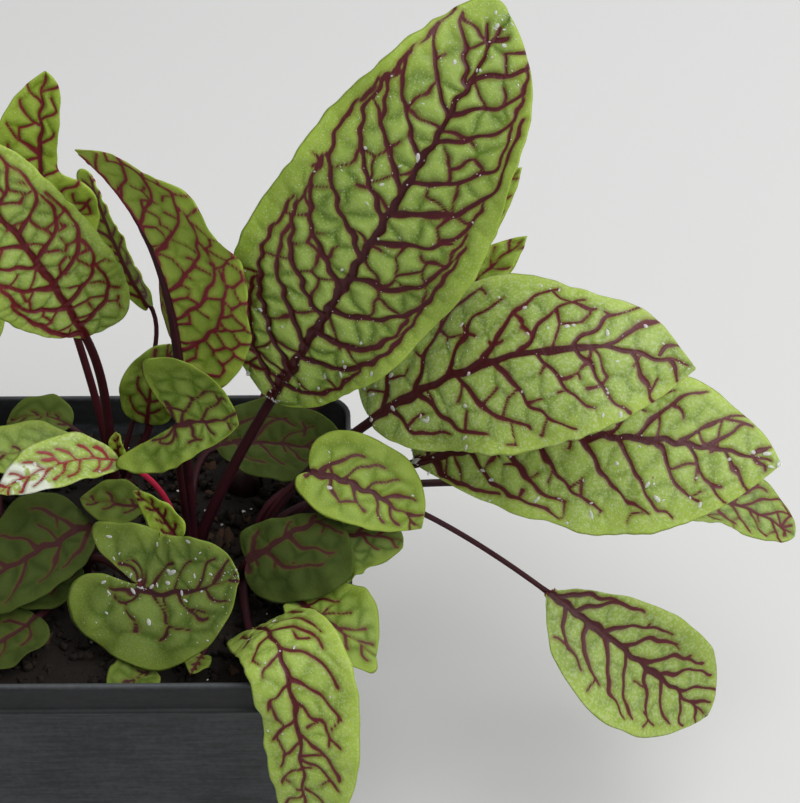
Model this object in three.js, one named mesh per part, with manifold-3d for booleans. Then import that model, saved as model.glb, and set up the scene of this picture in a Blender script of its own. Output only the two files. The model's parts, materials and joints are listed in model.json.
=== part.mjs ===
// A red-veined sorrel plant in a square nursery pot. Millimetres, +Z up.
// The origin is the middle of the pot's underside. +X is the right of the plant, +Y its back.

import * as THREE from "three";
import { mergeVertices } from "three/addons/utils/BufferGeometryUtils.js";
import Module from "manifold-3d";

const wasm = await Module();
wasm.setup();

// ---- Driving dimensions ----

const RIM_WIDTH = 114; // outside of the pot's mouth
const BASE_WIDTH = 84; // outside of the pot's underside
const POT_HEIGHT = 95;
const WALL = 1.3;
const FLOOR = 1.6;
const CORNER_TOP = 9; // corner radius at the mouth
const CORNER_BASE = 7;
const BAND_HEIGHT = 9; // the upright band round the mouth
const LEDGE = 0.8; // how far the lower edge of the band stands out
const LEDGE_HEIGHT = 1.3;
const RING_HEIGHT = 3; // a faint raised ring on the wall below the band
const RING_OUT = 0.35;
const DRAIN_RADIUS = 4.5;
const DRAIN_INSET = 14; // from the outside of the underside to a drain hole's middle
const DRAIN_SIDES = 12;
const SOIL_BELOW_RIM = 10;
const SOIL_BUMP = 0.9;
const SOIL_DIP = 2.6; // how far the soil sinks round each crown
const DIP_REACH = 11;
const GAP = 0.3; // between pieces that touch
const BLADE = 0.7; // thickness of a leaf blade
const RIB_END = 0.3; // radius of a midrib where it fades out
const CROWN_RADIUS = 5.2;
const CROWN_DEPTH = 9; // below the soil
const CROWN_TOP = 4; // above it
const CROWN_SIDES = 10;

const SOIL_TOP = POT_HEIGHT - SOIL_BELOW_RIM;

// ---- Colours ----

const COLOURS = {
  pot: { color: 0x303235, roughness: 0.55, metalness: 0 },
  soil: { color: 0x2a1e16, roughness: 1, metalness: 0 },
  stalk: { color: 0x4a141c, roughness: 0.45, metalness: 0 },
  leaf: { color: 0x6f9a3c, roughness: 0.5, metalness: 0 },
};

// ---- Leaves ----

// Half outlines: the handles of a curve from the joint (0, 0) to the tip (1, 0).
const OBLONG = [0.02, 1.0, 0.7, 1.22];
const LANCE = [0.0, 1.3, 0.55, 0.9];
const BLUNT = [0, 1.2, 0.95, 1.45];

const USUAL_LEAF = {
  forms: [OBLONG, OBLONG], // of the left and the right half
  fold: [8, 8], // degrees that the two halves rise from the midrib
  curl: [10, 10], // degrees that they bend further on the way to the edge
  wave: 0.8, // how far the edge swings up and down
  waves: 3, // how often it does so from joint to tip
  phase: 0,
  stalk: 1.1, // radius of the stalk at the joint
  rise: 0.4, // how far the stalk first goes straight up, as a share of its span
  run: 0.3, // how far it comes in along the midrib
  rib: 0.75, // share of the blade that the raised midrib reaches
  columns: 3,
  rows: 8,
};
const LARGE = { columns: 4, rows: 12 };
const SMALL = { columns: 2, rows: 6, wave: 0.4, rib: 0.6 };

const both = (form) => ({ forms: [form, form] });

// A leaf: where the stalk meets the blade, the middle of the midrib, the tip,
// where the upper side faces, and the width or the widths of the two halves.
const leaf = (joint, middle, tip, face, width, more = {}) => ({
  joint, middle, tip, face, width, ...USUAL_LEAF, ...more,
});

const CROWNS = {
  middle: {
    at: [15, 4],
    leaves: [
      leaf([38, 5, 134], [69, 2, 193.5], [95.5, 20, 234], [-0.3, -0.9, 0.3], [27.5, 25.5], {
        ...LARGE, stalk: 1.5, rise: 0.15, run: 0.2, fold: [6, 6], curl: [12, 12], wave: 1.2, waves: 4,
        forms: [[0.1, 1.9, 1.15, 0.6], [0.01, 0.7, 0.75, 1.8]],
      }),
      leaf([16, 4, 146.4], [10, 6, 182], [-5, 4, 208], [0.2, 0.85, 0.4], [22.3, 14], {
        stalk: 1.3, fold: [0, 48], curl: [-10, 15], wave: 1.2, rows: 12,
        forms: [[-0.42, 0.48, 0.46, 1.85, 0.88, 0.73], [0.1, 0.5, 0.3, 0.9, 0.7, 0.9]],
      }),
      leaf([15.5, -9, 137], [23, -10.5, 139], [31, -13, 140], [-0.35, -0.75, 0.6], [23.7, 10.8], {
        stalk: 1, run: 0.05, fold: [20, 0], curl: [60, -10], wave: 0.5, rows: 12,
        forms: [[-0.47, 0.74, 0.26, 1.82], [-2.67, 0.97, 0.3, 1.66]],
      }),
      leaf([22, 22, 105], [39, 24, 104], [58, 24, 99], [0, -0.35, 1], 26),
      leaf([5, -3, 105], [-4, -1, 105], [-12, 1, 105], [0, -0.4, 1], 13, SMALL),
      leaf([0, -6, 123], [-13, -14, 129], [-28, -22, 126], [0, -0.45, 0.9], [7, 7.2], {
        stalk: 0.8, forms: [[-0.13, 0.37, 0.59, 2.05], [0.22, 1.67, 0.88, 0.95]],
      }),
      leaf([14, -13, 103], [9, -10, 110], [3, -9, 116], [-0.3, -0.8, 0.5], 9, { ...SMALL, ...both(LANCE) }),
    ],
  },
  right: {
    at: [29, -8],
    leaves: [
      leaf([63, 5, 127], [103, -4, 155], [142, -6, 151], [-0.1, -0.7, 0.7], [23.6, 23.5], {
        ...LARGE, stalk: 1.4, fold: [-10, 0], curl: [-20, -4],
        forms: [[-0.13, 1.25, 0.57, 1.41], [-0.1, 0.4, 0.7, 2.1]],
      }),
      leaf([74, 10, 109], [121, 5, 121], [167, 0, 116], [0, -0.6, 0.85], [23, 24.8], {
        ...LARGE, stalk: 1.3, fold: [0, -6], curl: [0, -10],
        forms: [[-0.04, 1.22, 0.73, 1.44], [0.08, 0.45, 0.66, 2]],
      }),
      leaf([125, 36, 80], [156, 36, 75], [180, 31.5, 64], [0.1, -0.3, 1], 22, both(BLUNT)),
      leaf([109, -6, 78], [130, -12, 62], [153, -12, 38], [0.35, -0.75, 0.6], [16, 20.5], {
        stalk: 0.8, rise: 0.8, run: 0.45, wave: 0.5, waves: 2, rows: 10,
        forms: [[0.25, 1, 0.9, 1.6], [0.05, 0.5, 0.5, 1.9]],
      }),
      leaf([48, -6, 119], [62.5, -9, 115], [75.5, -11, 104.5], [0.1, -0.6, 0.8], [13.2, 10.5], {
        stalk: 0.9, rise: 0.6, run: 0.05, fold: [6, 6], curl: [4, 4], wave: 0.5, waves: 2,
        forms: [[-0.28, 1.07, 0.74, 1.57], [-0.4, 0.2, 0.35, 2.1]],
      }),
      leaf([31.5, -17.2, 99.5], [42, -15.2, 106], [54, -11.2, 110], [0, -0.5, 0.85], [7, 19.9], {
        rise: 0.15, forms: [[0, 1.4, 0.4, 0.7], [-0.49, 0.6, 1.2, 1.91]],
      }),
      leaf([50, -10, 98.5], [60, -8, 99.8], [71, -9, 98], [0, -0.2, 1], [6, 16.8], {
        forms: [BLUNT, [-0.4, 2, 1.15, 0.44]],
      }),
      leaf([44.6, -30, 97], [54, -40, 98], [64, -46.5, 94], [0, -0.1, 1], [12.5, 8], {
        rise: 0.15, wave: 0.5, waves: 2, forms: [[-0.11, 0.83, 0.7, 1.76], [-0.4, 1.06, 1.45, 1.58]],
      }),
      leaf([33, -35, 92], [43, -60, 101.5], [47, -72, 52], [0, 0, 1], [15.5, 9.5], {
        faceTip: [0, -1, 0.15], fold: [4, -8], curl: [8, -10], rows: 14, stalk: 1.2,
        forms: [[0.15, 1.2, 0.8, 1], [-0.1, 1.2, 0.3, 0.5, 0.8, 1.3]],
      }),
      leaf([21, -40, 89], [20, -44, 90], [19, -48, 90], [0, -0.4, 1], 7, { ...SMALL, stalk: 0.6 }),
    ],
  },
  left: {
    at: [-12, -8],
    leaves: [
      leaf([6.8, -34.5, 106.3], [17, -39.5, 109], [31.5, -43.5, 118.5], [-0.1, -0.6, 0.75], [15.1, 19.2], {
        rise: 0.6, run: 0.05, fold: [12, -15], curl: [25, -10], rows: 12,
        forms: [[-1.95, 0.56, 1.14, 1.94], [-1.5, 0.15, 0, 2.2]],
      }),
      leaf([-9, -3, 100], [-21, -15, 101.5], [-40, -27, 96.5], [0, -0.5, 0.85], [13, 13.6], {
        forms: [[0.16, 1.2, 1, 1.46], [-0.01, 1.28, 0.57, 1.38]],
      }),
      leaf([-12, -12, 95], [-20, -20, 93], [-28, -26, 94], [0, -0.4, 0.9], 14, SMALL),
      leaf([-21, -27.4, 90.5], [-29, -36.4, 90], [-39, -43.4, 88.5], [0, -0.3, 1], 20, { rise: 0.15 }),
      leaf([9, -44, 88.3], [4, -48.5, 88.4], [-1, -53, 88], [0, -0.1, 1], 14, { ...SMALL, rise: 0.2 }),
    ],
  },
  back: {
    at: [-6, 30],
    leaves: [
      leaf([-9, 18, 144], [-20, 9, 178], [-35, 2, 209], [0.25, -0.85, 0.3], [15.5, 17], {
        stalk: 1.3, wave: 1.4, rows: 12,
        forms: [[0.2, 1, 0.4, 1.6], [-0.05, 1.5, 0.5, 0.5, 1, 1.1]],
      }),
      leaf([-19, 40, 157], [-19.5, 42, 181], [-16.7, 46, 204.5], [0.1, -0.9, 0.3], [15.7, 14.4], {
        rows: 14,
        forms: [[0.01, 1.56, 0.17, 0.81, 0.73, 1.16], [-0.39, 1.49, 1.53, 2.06, -0.56, -1.77, 0.89, 1.36]],
      }),
      leaf([3.5, 50, 130.4], [-4, 52, 148.7], [-10, 58, 167.5], [-0.6, -0.6, 0.3], 13, {
        stalk: 0.7, wave: 0.5, forms: [[-0.31, 1.01, 1.26, 1.62], LANCE],
      }),
      leaf([-13, 25, 99], [-28, 21, 104], [-46, 14, 106], [0, -0.3, 1], 18),
      leaf([3, 34, 103], [5, 34, 116], [12, 36, 128], [-0.2, -0.8, 0.4], 17, SMALL),
      leaf([-19, 42, 96], [-28, 44, 98], [-37, 44, 95], [0, -0.2, 1], 14, SMALL),
      leaf([-3, 21, 100], [-4, 21, 105], [-4, 22, 110], [-0.3, -0.9, 0.3], 5, { ...SMALL, stalk: 0.6 }),
    ],
  },
  far: {
    at: [28, 32],
    leaves: [
      leaf([60, 50, 118], [82, 60, 142], [103, 68, 162], [-0.3, -0.8, 0.5], 22),
      leaf([70, 44, 124], [88, 47, 138], [104, 52, 151], [-0.3, -0.7, 0.7], 14, SMALL),
      leaf([62, 54, 106], [88, 74, 112], [112, 92, 98], [0.3, 0.3, 1], 36),
      leaf([36, 60, 104], [44, 84, 109], [52, 108, 98], [0, 0.2, 1], 34),
    ],
  },
  side: {
    at: [-34, 4],
    leaves: [
      leaf([-52, 14, 128], [-74, 22, 168], [-92, 30, 196], [0.6, -0.2, 0.7], 42, LARGE),
      leaf([-58, -6, 112], [-88, -12, 128], [-118, -16, 120], [0, -0.2, 1], 38, LARGE),
      leaf([-50, -26, 104], [-66, -48, 106], [-80, -70, 90], [0.1, -0.3, 1], 30),
      leaf([-48, 30, 100], [-70, 50, 104], [-92, 66, 92], [0, 0.1, 1], 32),
      leaf([-48, 6, 99], [-63, 9, 100], [-78, 11, 92], [0, -0.1, 1], 22),
      leaf([-44, 56, 110], [-56, 84, 116], [-66, 108, 104], [-0.2, 0.2, 1], 28),
    ],
  },
};

// ---- Solids ----

function vector([x, y, z]) {
  return new THREE.Vector3(x, y, z);
}

function geometryOf(vertices, triangles) {
  const geometry = new THREE.BufferGeometry();
  const flat = vertices.flatMap((v) => [v.x, v.y, v.z]);
  geometry.setAttribute("position", new THREE.Float32BufferAttribute(flat, 3));
  geometry.setIndex(triangles);
  return geometry;
}

function solidOf(geometry) {
  const bare = geometry.clone();
  bare.deleteAttribute("normal");
  bare.deleteAttribute("uv");
  const merged = mergeVertices(bare, 1e-4);
  const mesh = new wasm.Mesh({
    numProp: 3,
    vertProperties: merged.attributes.position.array,
    triVerts: new Uint32Array(merged.index.array),
  });
  return new wasm.Manifold(mesh);
}

function geometryOfSolid(solid) {
  const mesh = solid.getMesh();
  const geometry = new THREE.BufferGeometry();
  geometry.setAttribute("position", new THREE.Float32BufferAttribute(mesh.vertProperties, 3));
  geometry.setIndex([...mesh.triVerts]);
  return geometry;
}

function piece(name, geometry, colour) {
  const mesh = new THREE.Mesh(geometry, new THREE.MeshStandardMaterial(COLOURS[colour]));
  mesh.name = name;
  return mesh;
}

// A closed skin over rings of points, each ring with as many points, closed by a fan at each end.
function loft(rings) {
  const count = rings[0].length;
  const middleOf = (ring) => ring.reduce((sum, p) => sum.add(p), new THREE.Vector3()).divideScalar(count);
  const vertices = [middleOf(rings[0]), ...rings.flat(), middleOf(rings.at(-1))];
  const last = vertices.length - 1;
  const at = (ring, i) => 1 + ring * count + (i % count);
  const triangles = [];
  for (let i = 0; i < count; i++) {
    triangles.push(0, at(0, i + 1), at(0, i));
    triangles.push(last, at(rings.length - 1, i), at(rings.length - 1, i + 1));
    for (let ring = 0; ring < rings.length - 1; ring++) {
      triangles.push(at(ring, i), at(ring, i + 1), at(ring + 1, i + 1));
      triangles.push(at(ring, i), at(ring + 1, i + 1), at(ring + 1, i));
    }
  }
  return geometryOf(vertices, triangles);
}

// ---- Pot and soil ----

const CORNER_STEPS = 4;
const SIDE_STEPS = 2;
const SOFTEN = 0.3; // edges of the pot are broken by this much
const SOIL_EDGE = 1.5; // the soil falls by this much on its way to the wall
const SOIL_RINGS = [0.97, 0.86, 0.74, 0.61, 0.48, 0.34, 0.2, 0.08]; // sizes of the rings over its top

// A square with round corners, anticlockwise, seen from above.
function roundedSquare(width, radius, z) {
  const reach = width / 2 - radius;
  const ring = [];
  for (let corner = 0; corner < 4; corner++) {
    const quarter = (corner * Math.PI) / 2;
    const turned = (x, y) => new THREE.Vector3(x, y, z).applyAxisAngle(new THREE.Vector3(0, 0, 1), quarter);
    for (let i = 0; i <= CORNER_STEPS; i++) {
      const angle = (i / CORNER_STEPS) * (Math.PI / 2);
      ring.push(turned(reach + radius * Math.cos(angle), reach + radius * Math.sin(angle)));
    }
    for (let i = 1; i < SIDE_STEPS; i++) ring.push(turned(reach * (1 - (2 * i) / SIDE_STEPS), width / 2));
  }
  return ring;
}

// Outside width and corner radius of the tapered wall at a height.
function wallAt(z) {
  const share = z / POT_HEIGHT;
  return {
    width: THREE.MathUtils.lerp(BASE_WIDTH, RIM_WIDTH - 3 * LEDGE, share),
    radius: THREE.MathUtils.lerp(CORNER_BASE, CORNER_TOP, share),
  };
}

function wallRing(z, grow = 0) {
  const { width, radius } = wallAt(z);
  return roundedSquare(width + 2 * grow, radius + grow, z);
}

function rimRing(z, grow = 0) {
  return roundedSquare(RIM_WIDTH + 2 * grow, CORNER_TOP + grow, z);
}

function potSolid() {
  const bandFoot = POT_HEIGHT - BAND_HEIGHT;
  const body = solidOf(loft([
    wallRing(0),
    wallRing(bandFoot - RING_HEIGHT - SOFTEN),
    wallRing(bandFoot - RING_HEIGHT, RING_OUT),
    wallRing(bandFoot - SOFTEN, RING_OUT),
    rimRing(bandFoot, LEDGE),
    rimRing(bandFoot + LEDGE_HEIGHT - SOFTEN, LEDGE),
    rimRing(bandFoot + LEDGE_HEIGHT, -SOFTEN),
    rimRing(POT_HEIGHT - SOFTEN),
    rimRing(POT_HEIGHT, -SOFTEN),
    rimRing(POT_HEIGHT, -WALL),
    rimRing(bandFoot + LEDGE_HEIGHT, -WALL - SOFTEN),
    wallRing(bandFoot - LEDGE_HEIGHT, -WALL),
    wallRing(FLOOR, -WALL),
  ]));
  const holeAt = BASE_WIDTH / 2 - DRAIN_INSET;
  const holes = [[1, 1], [-1, 1], [-1, -1], [1, -1], [1, 0], [0, 1], [-1, 0], [0, -1]];
  return holes.reduce((pot, [x, y]) => pot.subtract(drain(x * holeAt, y * holeAt)), body);
}

function drain(x, y) {
  const drill = new THREE.CylinderGeometry(DRAIN_RADIUS, DRAIN_RADIUS, 4 * FLOOR, DRAIN_SIDES);
  drill.rotateX(Math.PI / 2);
  drill.translate(x, y, 0);
  return solidOf(drill);
}

// Height of the soil: smooth bumps that stay the same each time, and a dip round each crown.
function soilHeight(x, y) {
  const bump =
    0.5 * Math.sin(0.31 * x + 1.7) * Math.sin(0.27 * y + 0.4) +
    0.3 * Math.sin(0.73 * x - 0.41 * y) +
    0.2 * Math.sin(0.52 * x + 0.97 * y + 2);
  const near = Object.values(CROWNS).map(({ at }) => Math.hypot(x - at[0], y - at[1]) / DIP_REACH);
  const dip = Math.max(...near.map((distance) => Math.exp(-distance * distance)));
  return SOIL_TOP + SOIL_BUMP * bump - SOIL_DIP * dip;
}

function soilSolid() {
  const edge = wallRing(SOIL_TOP, -WALL - GAP);
  const top = SOIL_RINGS.map((share) =>
    edge.map((p) => {
      const x = p.x * share;
      const y = p.y * share;
      return new THREE.Vector3(x, y, soilHeight(x, y));
    }),
  );
  const low = edge.map((p) => new THREE.Vector3(p.x, p.y, SOIL_TOP - SOIL_EDGE));
  const body = solidOf(loft([wallRing(FLOOR + GAP, -WALL - GAP), low, ...top]));
  return Object.values(CROWNS).reduce((soil, { at }) => soil.subtract(crownSolid(at, GAP)), body);
}

// ---- Crowns, stalks and ribs ----

// The root crown that the stalks of one clump grow from, or with some clearance the hole it stands in.
function crownSolid([x, y], clearance) {
  const radius = CROWN_RADIUS + clearance;
  const bottom = SOIL_TOP - CROWN_DEPTH - clearance;
  const profile = [
    [0, bottom],
    [0.6 * radius, bottom],
    [0.95 * radius, SOIL_TOP - 0.55 * CROWN_DEPTH],
    [radius, SOIL_TOP],
    [0.75 * radius, SOIL_TOP + CROWN_TOP * 0.7],
    [0, SOIL_TOP + CROWN_TOP],
  ].map(([r, z]) => new THREE.Vector2(r, z));
  const lathe = new THREE.LatheGeometry(profile, CROWN_SIDES);
  lathe.rotateX(Math.PI / 2);
  lathe.translate(x, y, 0);
  return solidOf(lathe);
}

// A closed tube through points, with a radius at each.
function tube(points, radii, sides) {
  const tangents = points.map((p, i) => {
    const before = points[Math.max(i - 1, 0)];
    const after = points[Math.min(i + 1, points.length - 1)];
    return after.clone().sub(before).normalize();
  });
  const across = new THREE.Vector3(0.36, 0.93, 0.05); // any direction that no stalk runs along
  const rings = points.map((p, i) => {
    across.addScaledVector(tangents[i], -across.dot(tangents[i])).normalize();
    const ring = [];
    for (let k = 0; k < sides; k++) {
      const spoke = across.clone().applyAxisAngle(tangents[i], (2 * Math.PI * k) / sides);
      ring.push(p.clone().addScaledVector(spoke, radii[i]));
    }
    return ring;
  });
  return loft(rings);
}

const STALK_SIDES = 5;
const STALK_STEPS = 8;
const RIB_STEPS = 3;
const STALK_SWELL = 0.2; // how much thicker a stalk is at its foot, as a share of its radius
const FOOT_DEPTH = 1; // a stalk starts this far below the soil's level, inside its crown
const FOOT_SPREAD = 0.45; // and this far out from the crown's middle, as a share of its radius

function stalkSolid(plan, crown) {
  const joint = ribPoint(plan, 0);
  const outwards = new THREE.Vector3(joint.x - crown.at[0], joint.y - crown.at[1], 0).normalize();
  const root = new THREE.Vector3(crown.at[0], crown.at[1], SOIL_TOP - FOOT_DEPTH);
  root.addScaledVector(outwards, CROWN_RADIUS * FOOT_SPREAD);
  const span = joint.distanceTo(root);
  const up = root.clone().add(new THREE.Vector3(0, 0, plan.rise * span));
  const into = joint.clone().addScaledVector(plan.midrib.getTangentAt(0), -plan.run * span);
  const path = new THREE.CubicBezierCurve3(root, up, into, joint);
  const points = path.getSpacedPoints(STALK_STEPS);
  const radii = points.map((p, i) => plan.stalk * (1 + STALK_SWELL * (1 - i / STALK_STEPS)));
  for (let i = 1; i <= RIB_STEPS; i++) {
    const share = (plan.rib * i) / RIB_STEPS;
    points.push(ribPoint(plan, share));
    radii.push(ribRadius(plan, share));
  }
  return solidOf(tube(points, radii, STALK_SIDES));
}

function ribRadius(plan, share) {
  return THREE.MathUtils.lerp(plan.stalk, RIB_END, Math.min(1, share / plan.rib));
}

// The rib lies under the blade, clear of its lower face.
function ribPoint(plan, share) {
  const { point, normal } = frameAt(plan, share);
  return point.addScaledVector(normal, -(BLADE / 2 + GAP + ribRadius(plan, share)));
}

// ---- Blades ----

function planOf(spec) {
  const joint = vector(spec.joint);
  const tip = vector(spec.tip);
  const handle = vector(spec.middle).multiplyScalar(2);
  handle.addScaledVector(joint, -0.5).addScaledVector(tip, -0.5);
  const midrib = new THREE.QuadraticBezierCurve3(joint, handle, tip);
  const faceTip = vector(spec.faceTip ?? spec.face);
  const halves = Array.isArray(spec.width) ? spec.width : [spec.width / 2, spec.width / 2];
  const most = spec.forms.map(widest);
  return { ...spec, midrib, length: midrib.getLength(), faceBase: vector(spec.face), faceTip, halves, most };
}

// Point, direction, upper side and right side of the midrib at a share of its length.
function frameAt(plan, share) {
  const inside = THREE.MathUtils.clamp(share, 0, 1);
  const tangent = plan.midrib.getTangentAt(inside);
  const point = plan.midrib.getPointAt(inside).addScaledVector(tangent, (share - inside) * plan.length);
  const normal = plan.faceBase.clone().lerp(plan.faceTip, inside);
  normal.addScaledVector(tangent, -normal.dot(tangent)).normalize();
  return { point, tangent, normal, right: tangent.clone().cross(normal) };
}

// Half outline of a blade: a curve of as many handles as its form has, from the joint to the tip.
function outlineAt(form, u) {
  let points = [new THREE.Vector2(0, 0)];
  for (let i = 0; i < form.length; i += 2) points.push(new THREE.Vector2(form[i], form[i + 1]));
  points.push(new THREE.Vector2(1, 0));
  while (points.length > 1) points = points.slice(1).map((point, i) => points[i].clone().lerp(point, u));
  return points[0];
}

function widest(form) {
  let most = 0;
  for (let u = 0; u <= 1; u += 0.02) most = Math.max(most, outlineAt(form, u).y);
  return most;
}

const RIB_SPACING = 1.7; // rows start closer together near the joint
const SWEEP = 1.4; // rows leave the midrib straight and bend forwards
const OTHER_SIDE = 1.3; // radians that the ripple of the right edge runs ahead of the left one's
const STRAIGHT = 1e-6; // a curl of nothing, in radians

// A point of the blade's middle surface: u runs along the edge, v from the left edge to the right.
function bladePoint(plan, u, v) {
  const across = Math.abs(v);
  const side = v < 0 ? 0 : 1;
  const edge = outlineAt(plan.forms[side], u);
  const start = u ** RIB_SPACING;
  const share = start + (edge.x - start) * across ** SWEEP;
  const reach = (edge.y / plan.most[side]) * across;
  const half = plan.halves[side];
  const fold = THREE.MathUtils.degToRad(plan.fold[side]);
  const curl = THREE.MathUtils.degToRad(plan.curl[side]) || STRAIGHT;
  const angle = fold + curl * reach;
  const outwards = (half * (Math.sin(angle) - Math.sin(fold))) / curl;
  const ripple = Math.sin(2 * Math.PI * plan.waves * share + plan.phase + OTHER_SIDE * side);
  const upwards = (half * (Math.cos(fold) - Math.cos(angle))) / curl + plan.wave * reach * reach * ripple;
  const { point, normal, right } = frameAt(plan, share);
  return point.addScaledVector(right, v < 0 ? -outwards : outwards).addScaledVector(normal, upwards);
}

function bladeNormal(plan, u, v) {
  const step = 0.01;
  const along = bladePoint(plan, u + step, v).sub(bladePoint(plan, u - step, v));
  const across = bladePoint(plan, u, Math.min(v + step, 1)).sub(bladePoint(plan, u, Math.max(v - step, -1)));
  return across.cross(along).normalize();
}

function bladeGeometry(plan) {
  const { rows, columns } = plan;
  const vertices = [bladePoint(plan, 0, 0), bladePoint(plan, 1, 0)];
  for (let i = 1; i < rows; i++) {
    for (let j = -columns; j <= columns; j++) {
      const middle = bladePoint(plan, i / rows, j / columns);
      const normal = bladeNormal(plan, i / rows, j / columns);
      vertices.push(middle.clone().addScaledVector(normal, BLADE / 2));
      vertices.push(middle.clone().addScaledVector(normal, -BLADE / 2));
    }
  }
  const wide = 2 * columns + 1;
  const upper = (i, j) => {
    if (i === 0) return 0;
    if (i === rows) return 1;
    return 2 + 2 * ((i - 1) * wide + j + columns);
  };
  const lower = (i, j) => upper(i, j) + (i > 0 && i < rows ? 1 : 0);
  const triangles = [];
  // Both faces are split along the same diagonals, and triangles that shrink to a line are left out.
  const add = (a, b, c) => {
    if (a !== b && b !== c && c !== a) triangles.push(a, b, c);
  };
  for (let i = 0; i < rows; i++) {
    for (let j = -columns; j < columns; j++) {
      const slant = j < 0;
      for (const [face, turn] of [[upper, false], [lower, true]]) {
        const corners = [face(i, j), face(i, j + 1), face(i + 1, j + 1), face(i + 1, j)];
        if (slant) corners.push(corners.shift());
        const [a, b, c, d] = corners;
        if (turn) {
          add(a, c, b);
          add(a, d, c);
        } else {
          add(a, b, c);
          add(a, c, d);
        }
      }
    }
    add(upper(i, columns), lower(i, columns), lower(i + 1, columns));
    add(upper(i, columns), lower(i + 1, columns), upper(i + 1, columns));
    add(upper(i, -columns), lower(i + 1, -columns), lower(i, -columns));
    add(upper(i, -columns), upper(i + 1, -columns), lower(i + 1, -columns));
  }
  return geometryOf(vertices, triangles);
}

// ---- Assembly ----

const sorrel = new THREE.Group();
sorrel.add(piece("pot", geometryOfSolid(potSolid()), "pot"));
sorrel.add(piece("soil", geometryOfSolid(soilSolid()), "soil"));

for (const [name, crown] of Object.entries(CROWNS)) {
  const plans = crown.leaves.map(planOf);
  const stalks = plans.reduce((clump, plan) => clump.add(stalkSolid(plan, crown)), crownSolid(crown.at, 0));
  sorrel.add(piece(`${name}_stalks`, geometryOfSolid(stalks), "stalk"));
  plans.forEach((plan, i) => sorrel.add(piece(`${name}_leaf_${i + 1}`, bladeGeometry(plan), "leaf")));
}

export default sorrel;
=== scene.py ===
# %% [markdown]
# # A red-veined sorrel in a nursery pot
# A herb plant is mostly leaves, and the eye goes straight to them: blades that puff up between
# sunken veins, a net of dark red on yellow-green, stalks the colour of beetroot.
# The solids of the model already say where each leaf starts, bends and ends. They stay where they
# are, and every blade is made again on the same midrib with a finer skin, its own net of veins
# and a finish that is painted by nodes. Stalks, pot and soil get the same treatment.

import heapq
import json
import math

import bmesh
import bpy
import numpy as np
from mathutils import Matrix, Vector, geometry

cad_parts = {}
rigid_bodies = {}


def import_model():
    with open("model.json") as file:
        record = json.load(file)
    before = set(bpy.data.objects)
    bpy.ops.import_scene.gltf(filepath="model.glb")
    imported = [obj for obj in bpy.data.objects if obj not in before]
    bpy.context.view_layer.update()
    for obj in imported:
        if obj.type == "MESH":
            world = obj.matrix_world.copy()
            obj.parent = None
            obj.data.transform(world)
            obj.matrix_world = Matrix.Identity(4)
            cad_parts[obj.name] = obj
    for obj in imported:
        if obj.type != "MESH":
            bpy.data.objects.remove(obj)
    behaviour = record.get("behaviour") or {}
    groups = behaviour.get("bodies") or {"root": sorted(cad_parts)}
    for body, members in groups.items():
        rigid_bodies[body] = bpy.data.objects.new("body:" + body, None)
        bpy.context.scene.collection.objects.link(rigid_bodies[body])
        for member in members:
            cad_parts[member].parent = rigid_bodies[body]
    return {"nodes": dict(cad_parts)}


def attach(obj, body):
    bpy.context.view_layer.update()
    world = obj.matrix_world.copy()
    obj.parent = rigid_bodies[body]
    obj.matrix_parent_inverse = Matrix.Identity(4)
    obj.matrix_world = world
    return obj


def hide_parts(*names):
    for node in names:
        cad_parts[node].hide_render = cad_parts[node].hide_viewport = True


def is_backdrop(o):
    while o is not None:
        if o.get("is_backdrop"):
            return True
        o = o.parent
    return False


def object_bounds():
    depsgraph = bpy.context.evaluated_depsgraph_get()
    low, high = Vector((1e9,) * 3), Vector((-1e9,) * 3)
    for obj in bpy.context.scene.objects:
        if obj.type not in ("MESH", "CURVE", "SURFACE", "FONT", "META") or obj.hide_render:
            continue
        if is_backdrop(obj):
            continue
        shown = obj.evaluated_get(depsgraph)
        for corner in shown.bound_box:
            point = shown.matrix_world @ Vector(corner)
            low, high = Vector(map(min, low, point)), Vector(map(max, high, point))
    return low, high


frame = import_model()
cad_box = [list(corner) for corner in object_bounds()]
MM = 0.001
print("solids:", len(frame["nodes"]), "box in mm:", [[round(v / MM) for v in c] for c in cad_box])

# %% [markdown]
# ## Camera, floor and light
# The plant stands on a pale sheet and is seen from above its rim, with a long lens that keeps
# near and far leaves at almost the same scale. A large soft lamp hangs overhead, to the right and
# in front, and a small one stands behind the right side and puts a sheen on the leaves that face
# it. A weak one in front lightens the right half. The room gives the rest, so the shadows have
# no hard edge and the middle of the plant is deep.

# %% Camera
scene = bpy.context.scene
scene.view_settings.view_transform = "Standard"

camera = bpy.data.objects.new("camera", bpy.data.cameras.new("camera"))
camera.data.sensor_width = 36
camera.data.lens = 107.6
camera.location = (0.0666, -0.4695, 0.5036)
camera.rotation_euler = (math.radians(52), 0, math.radians(-0.44))
scene.collection.objects.link(camera)
scene.camera = camera
print("lens:", camera.data.lens, "mm, looking down by 38 degrees")

# %% Lamps and the bright room
ROOM, ROOM_POWER = (0.82, 0.82, 0.82, 1), 0.52
LAMP_AIM = Vector((0.03, 0, 0.1))


def soft_lamp(name, place, size, power):
    lamp = bpy.data.lights.new(name, "AREA")
    lamp.shape = "DISK"
    lamp.size = size
    lamp.energy = power
    holder = bpy.data.objects.new(name, lamp)
    holder.location = place
    holder.rotation_euler = (LAMP_AIM - Vector(place)).to_track_quat("-Z", "Y").to_euler()
    scene.collection.objects.link(holder)


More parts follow.
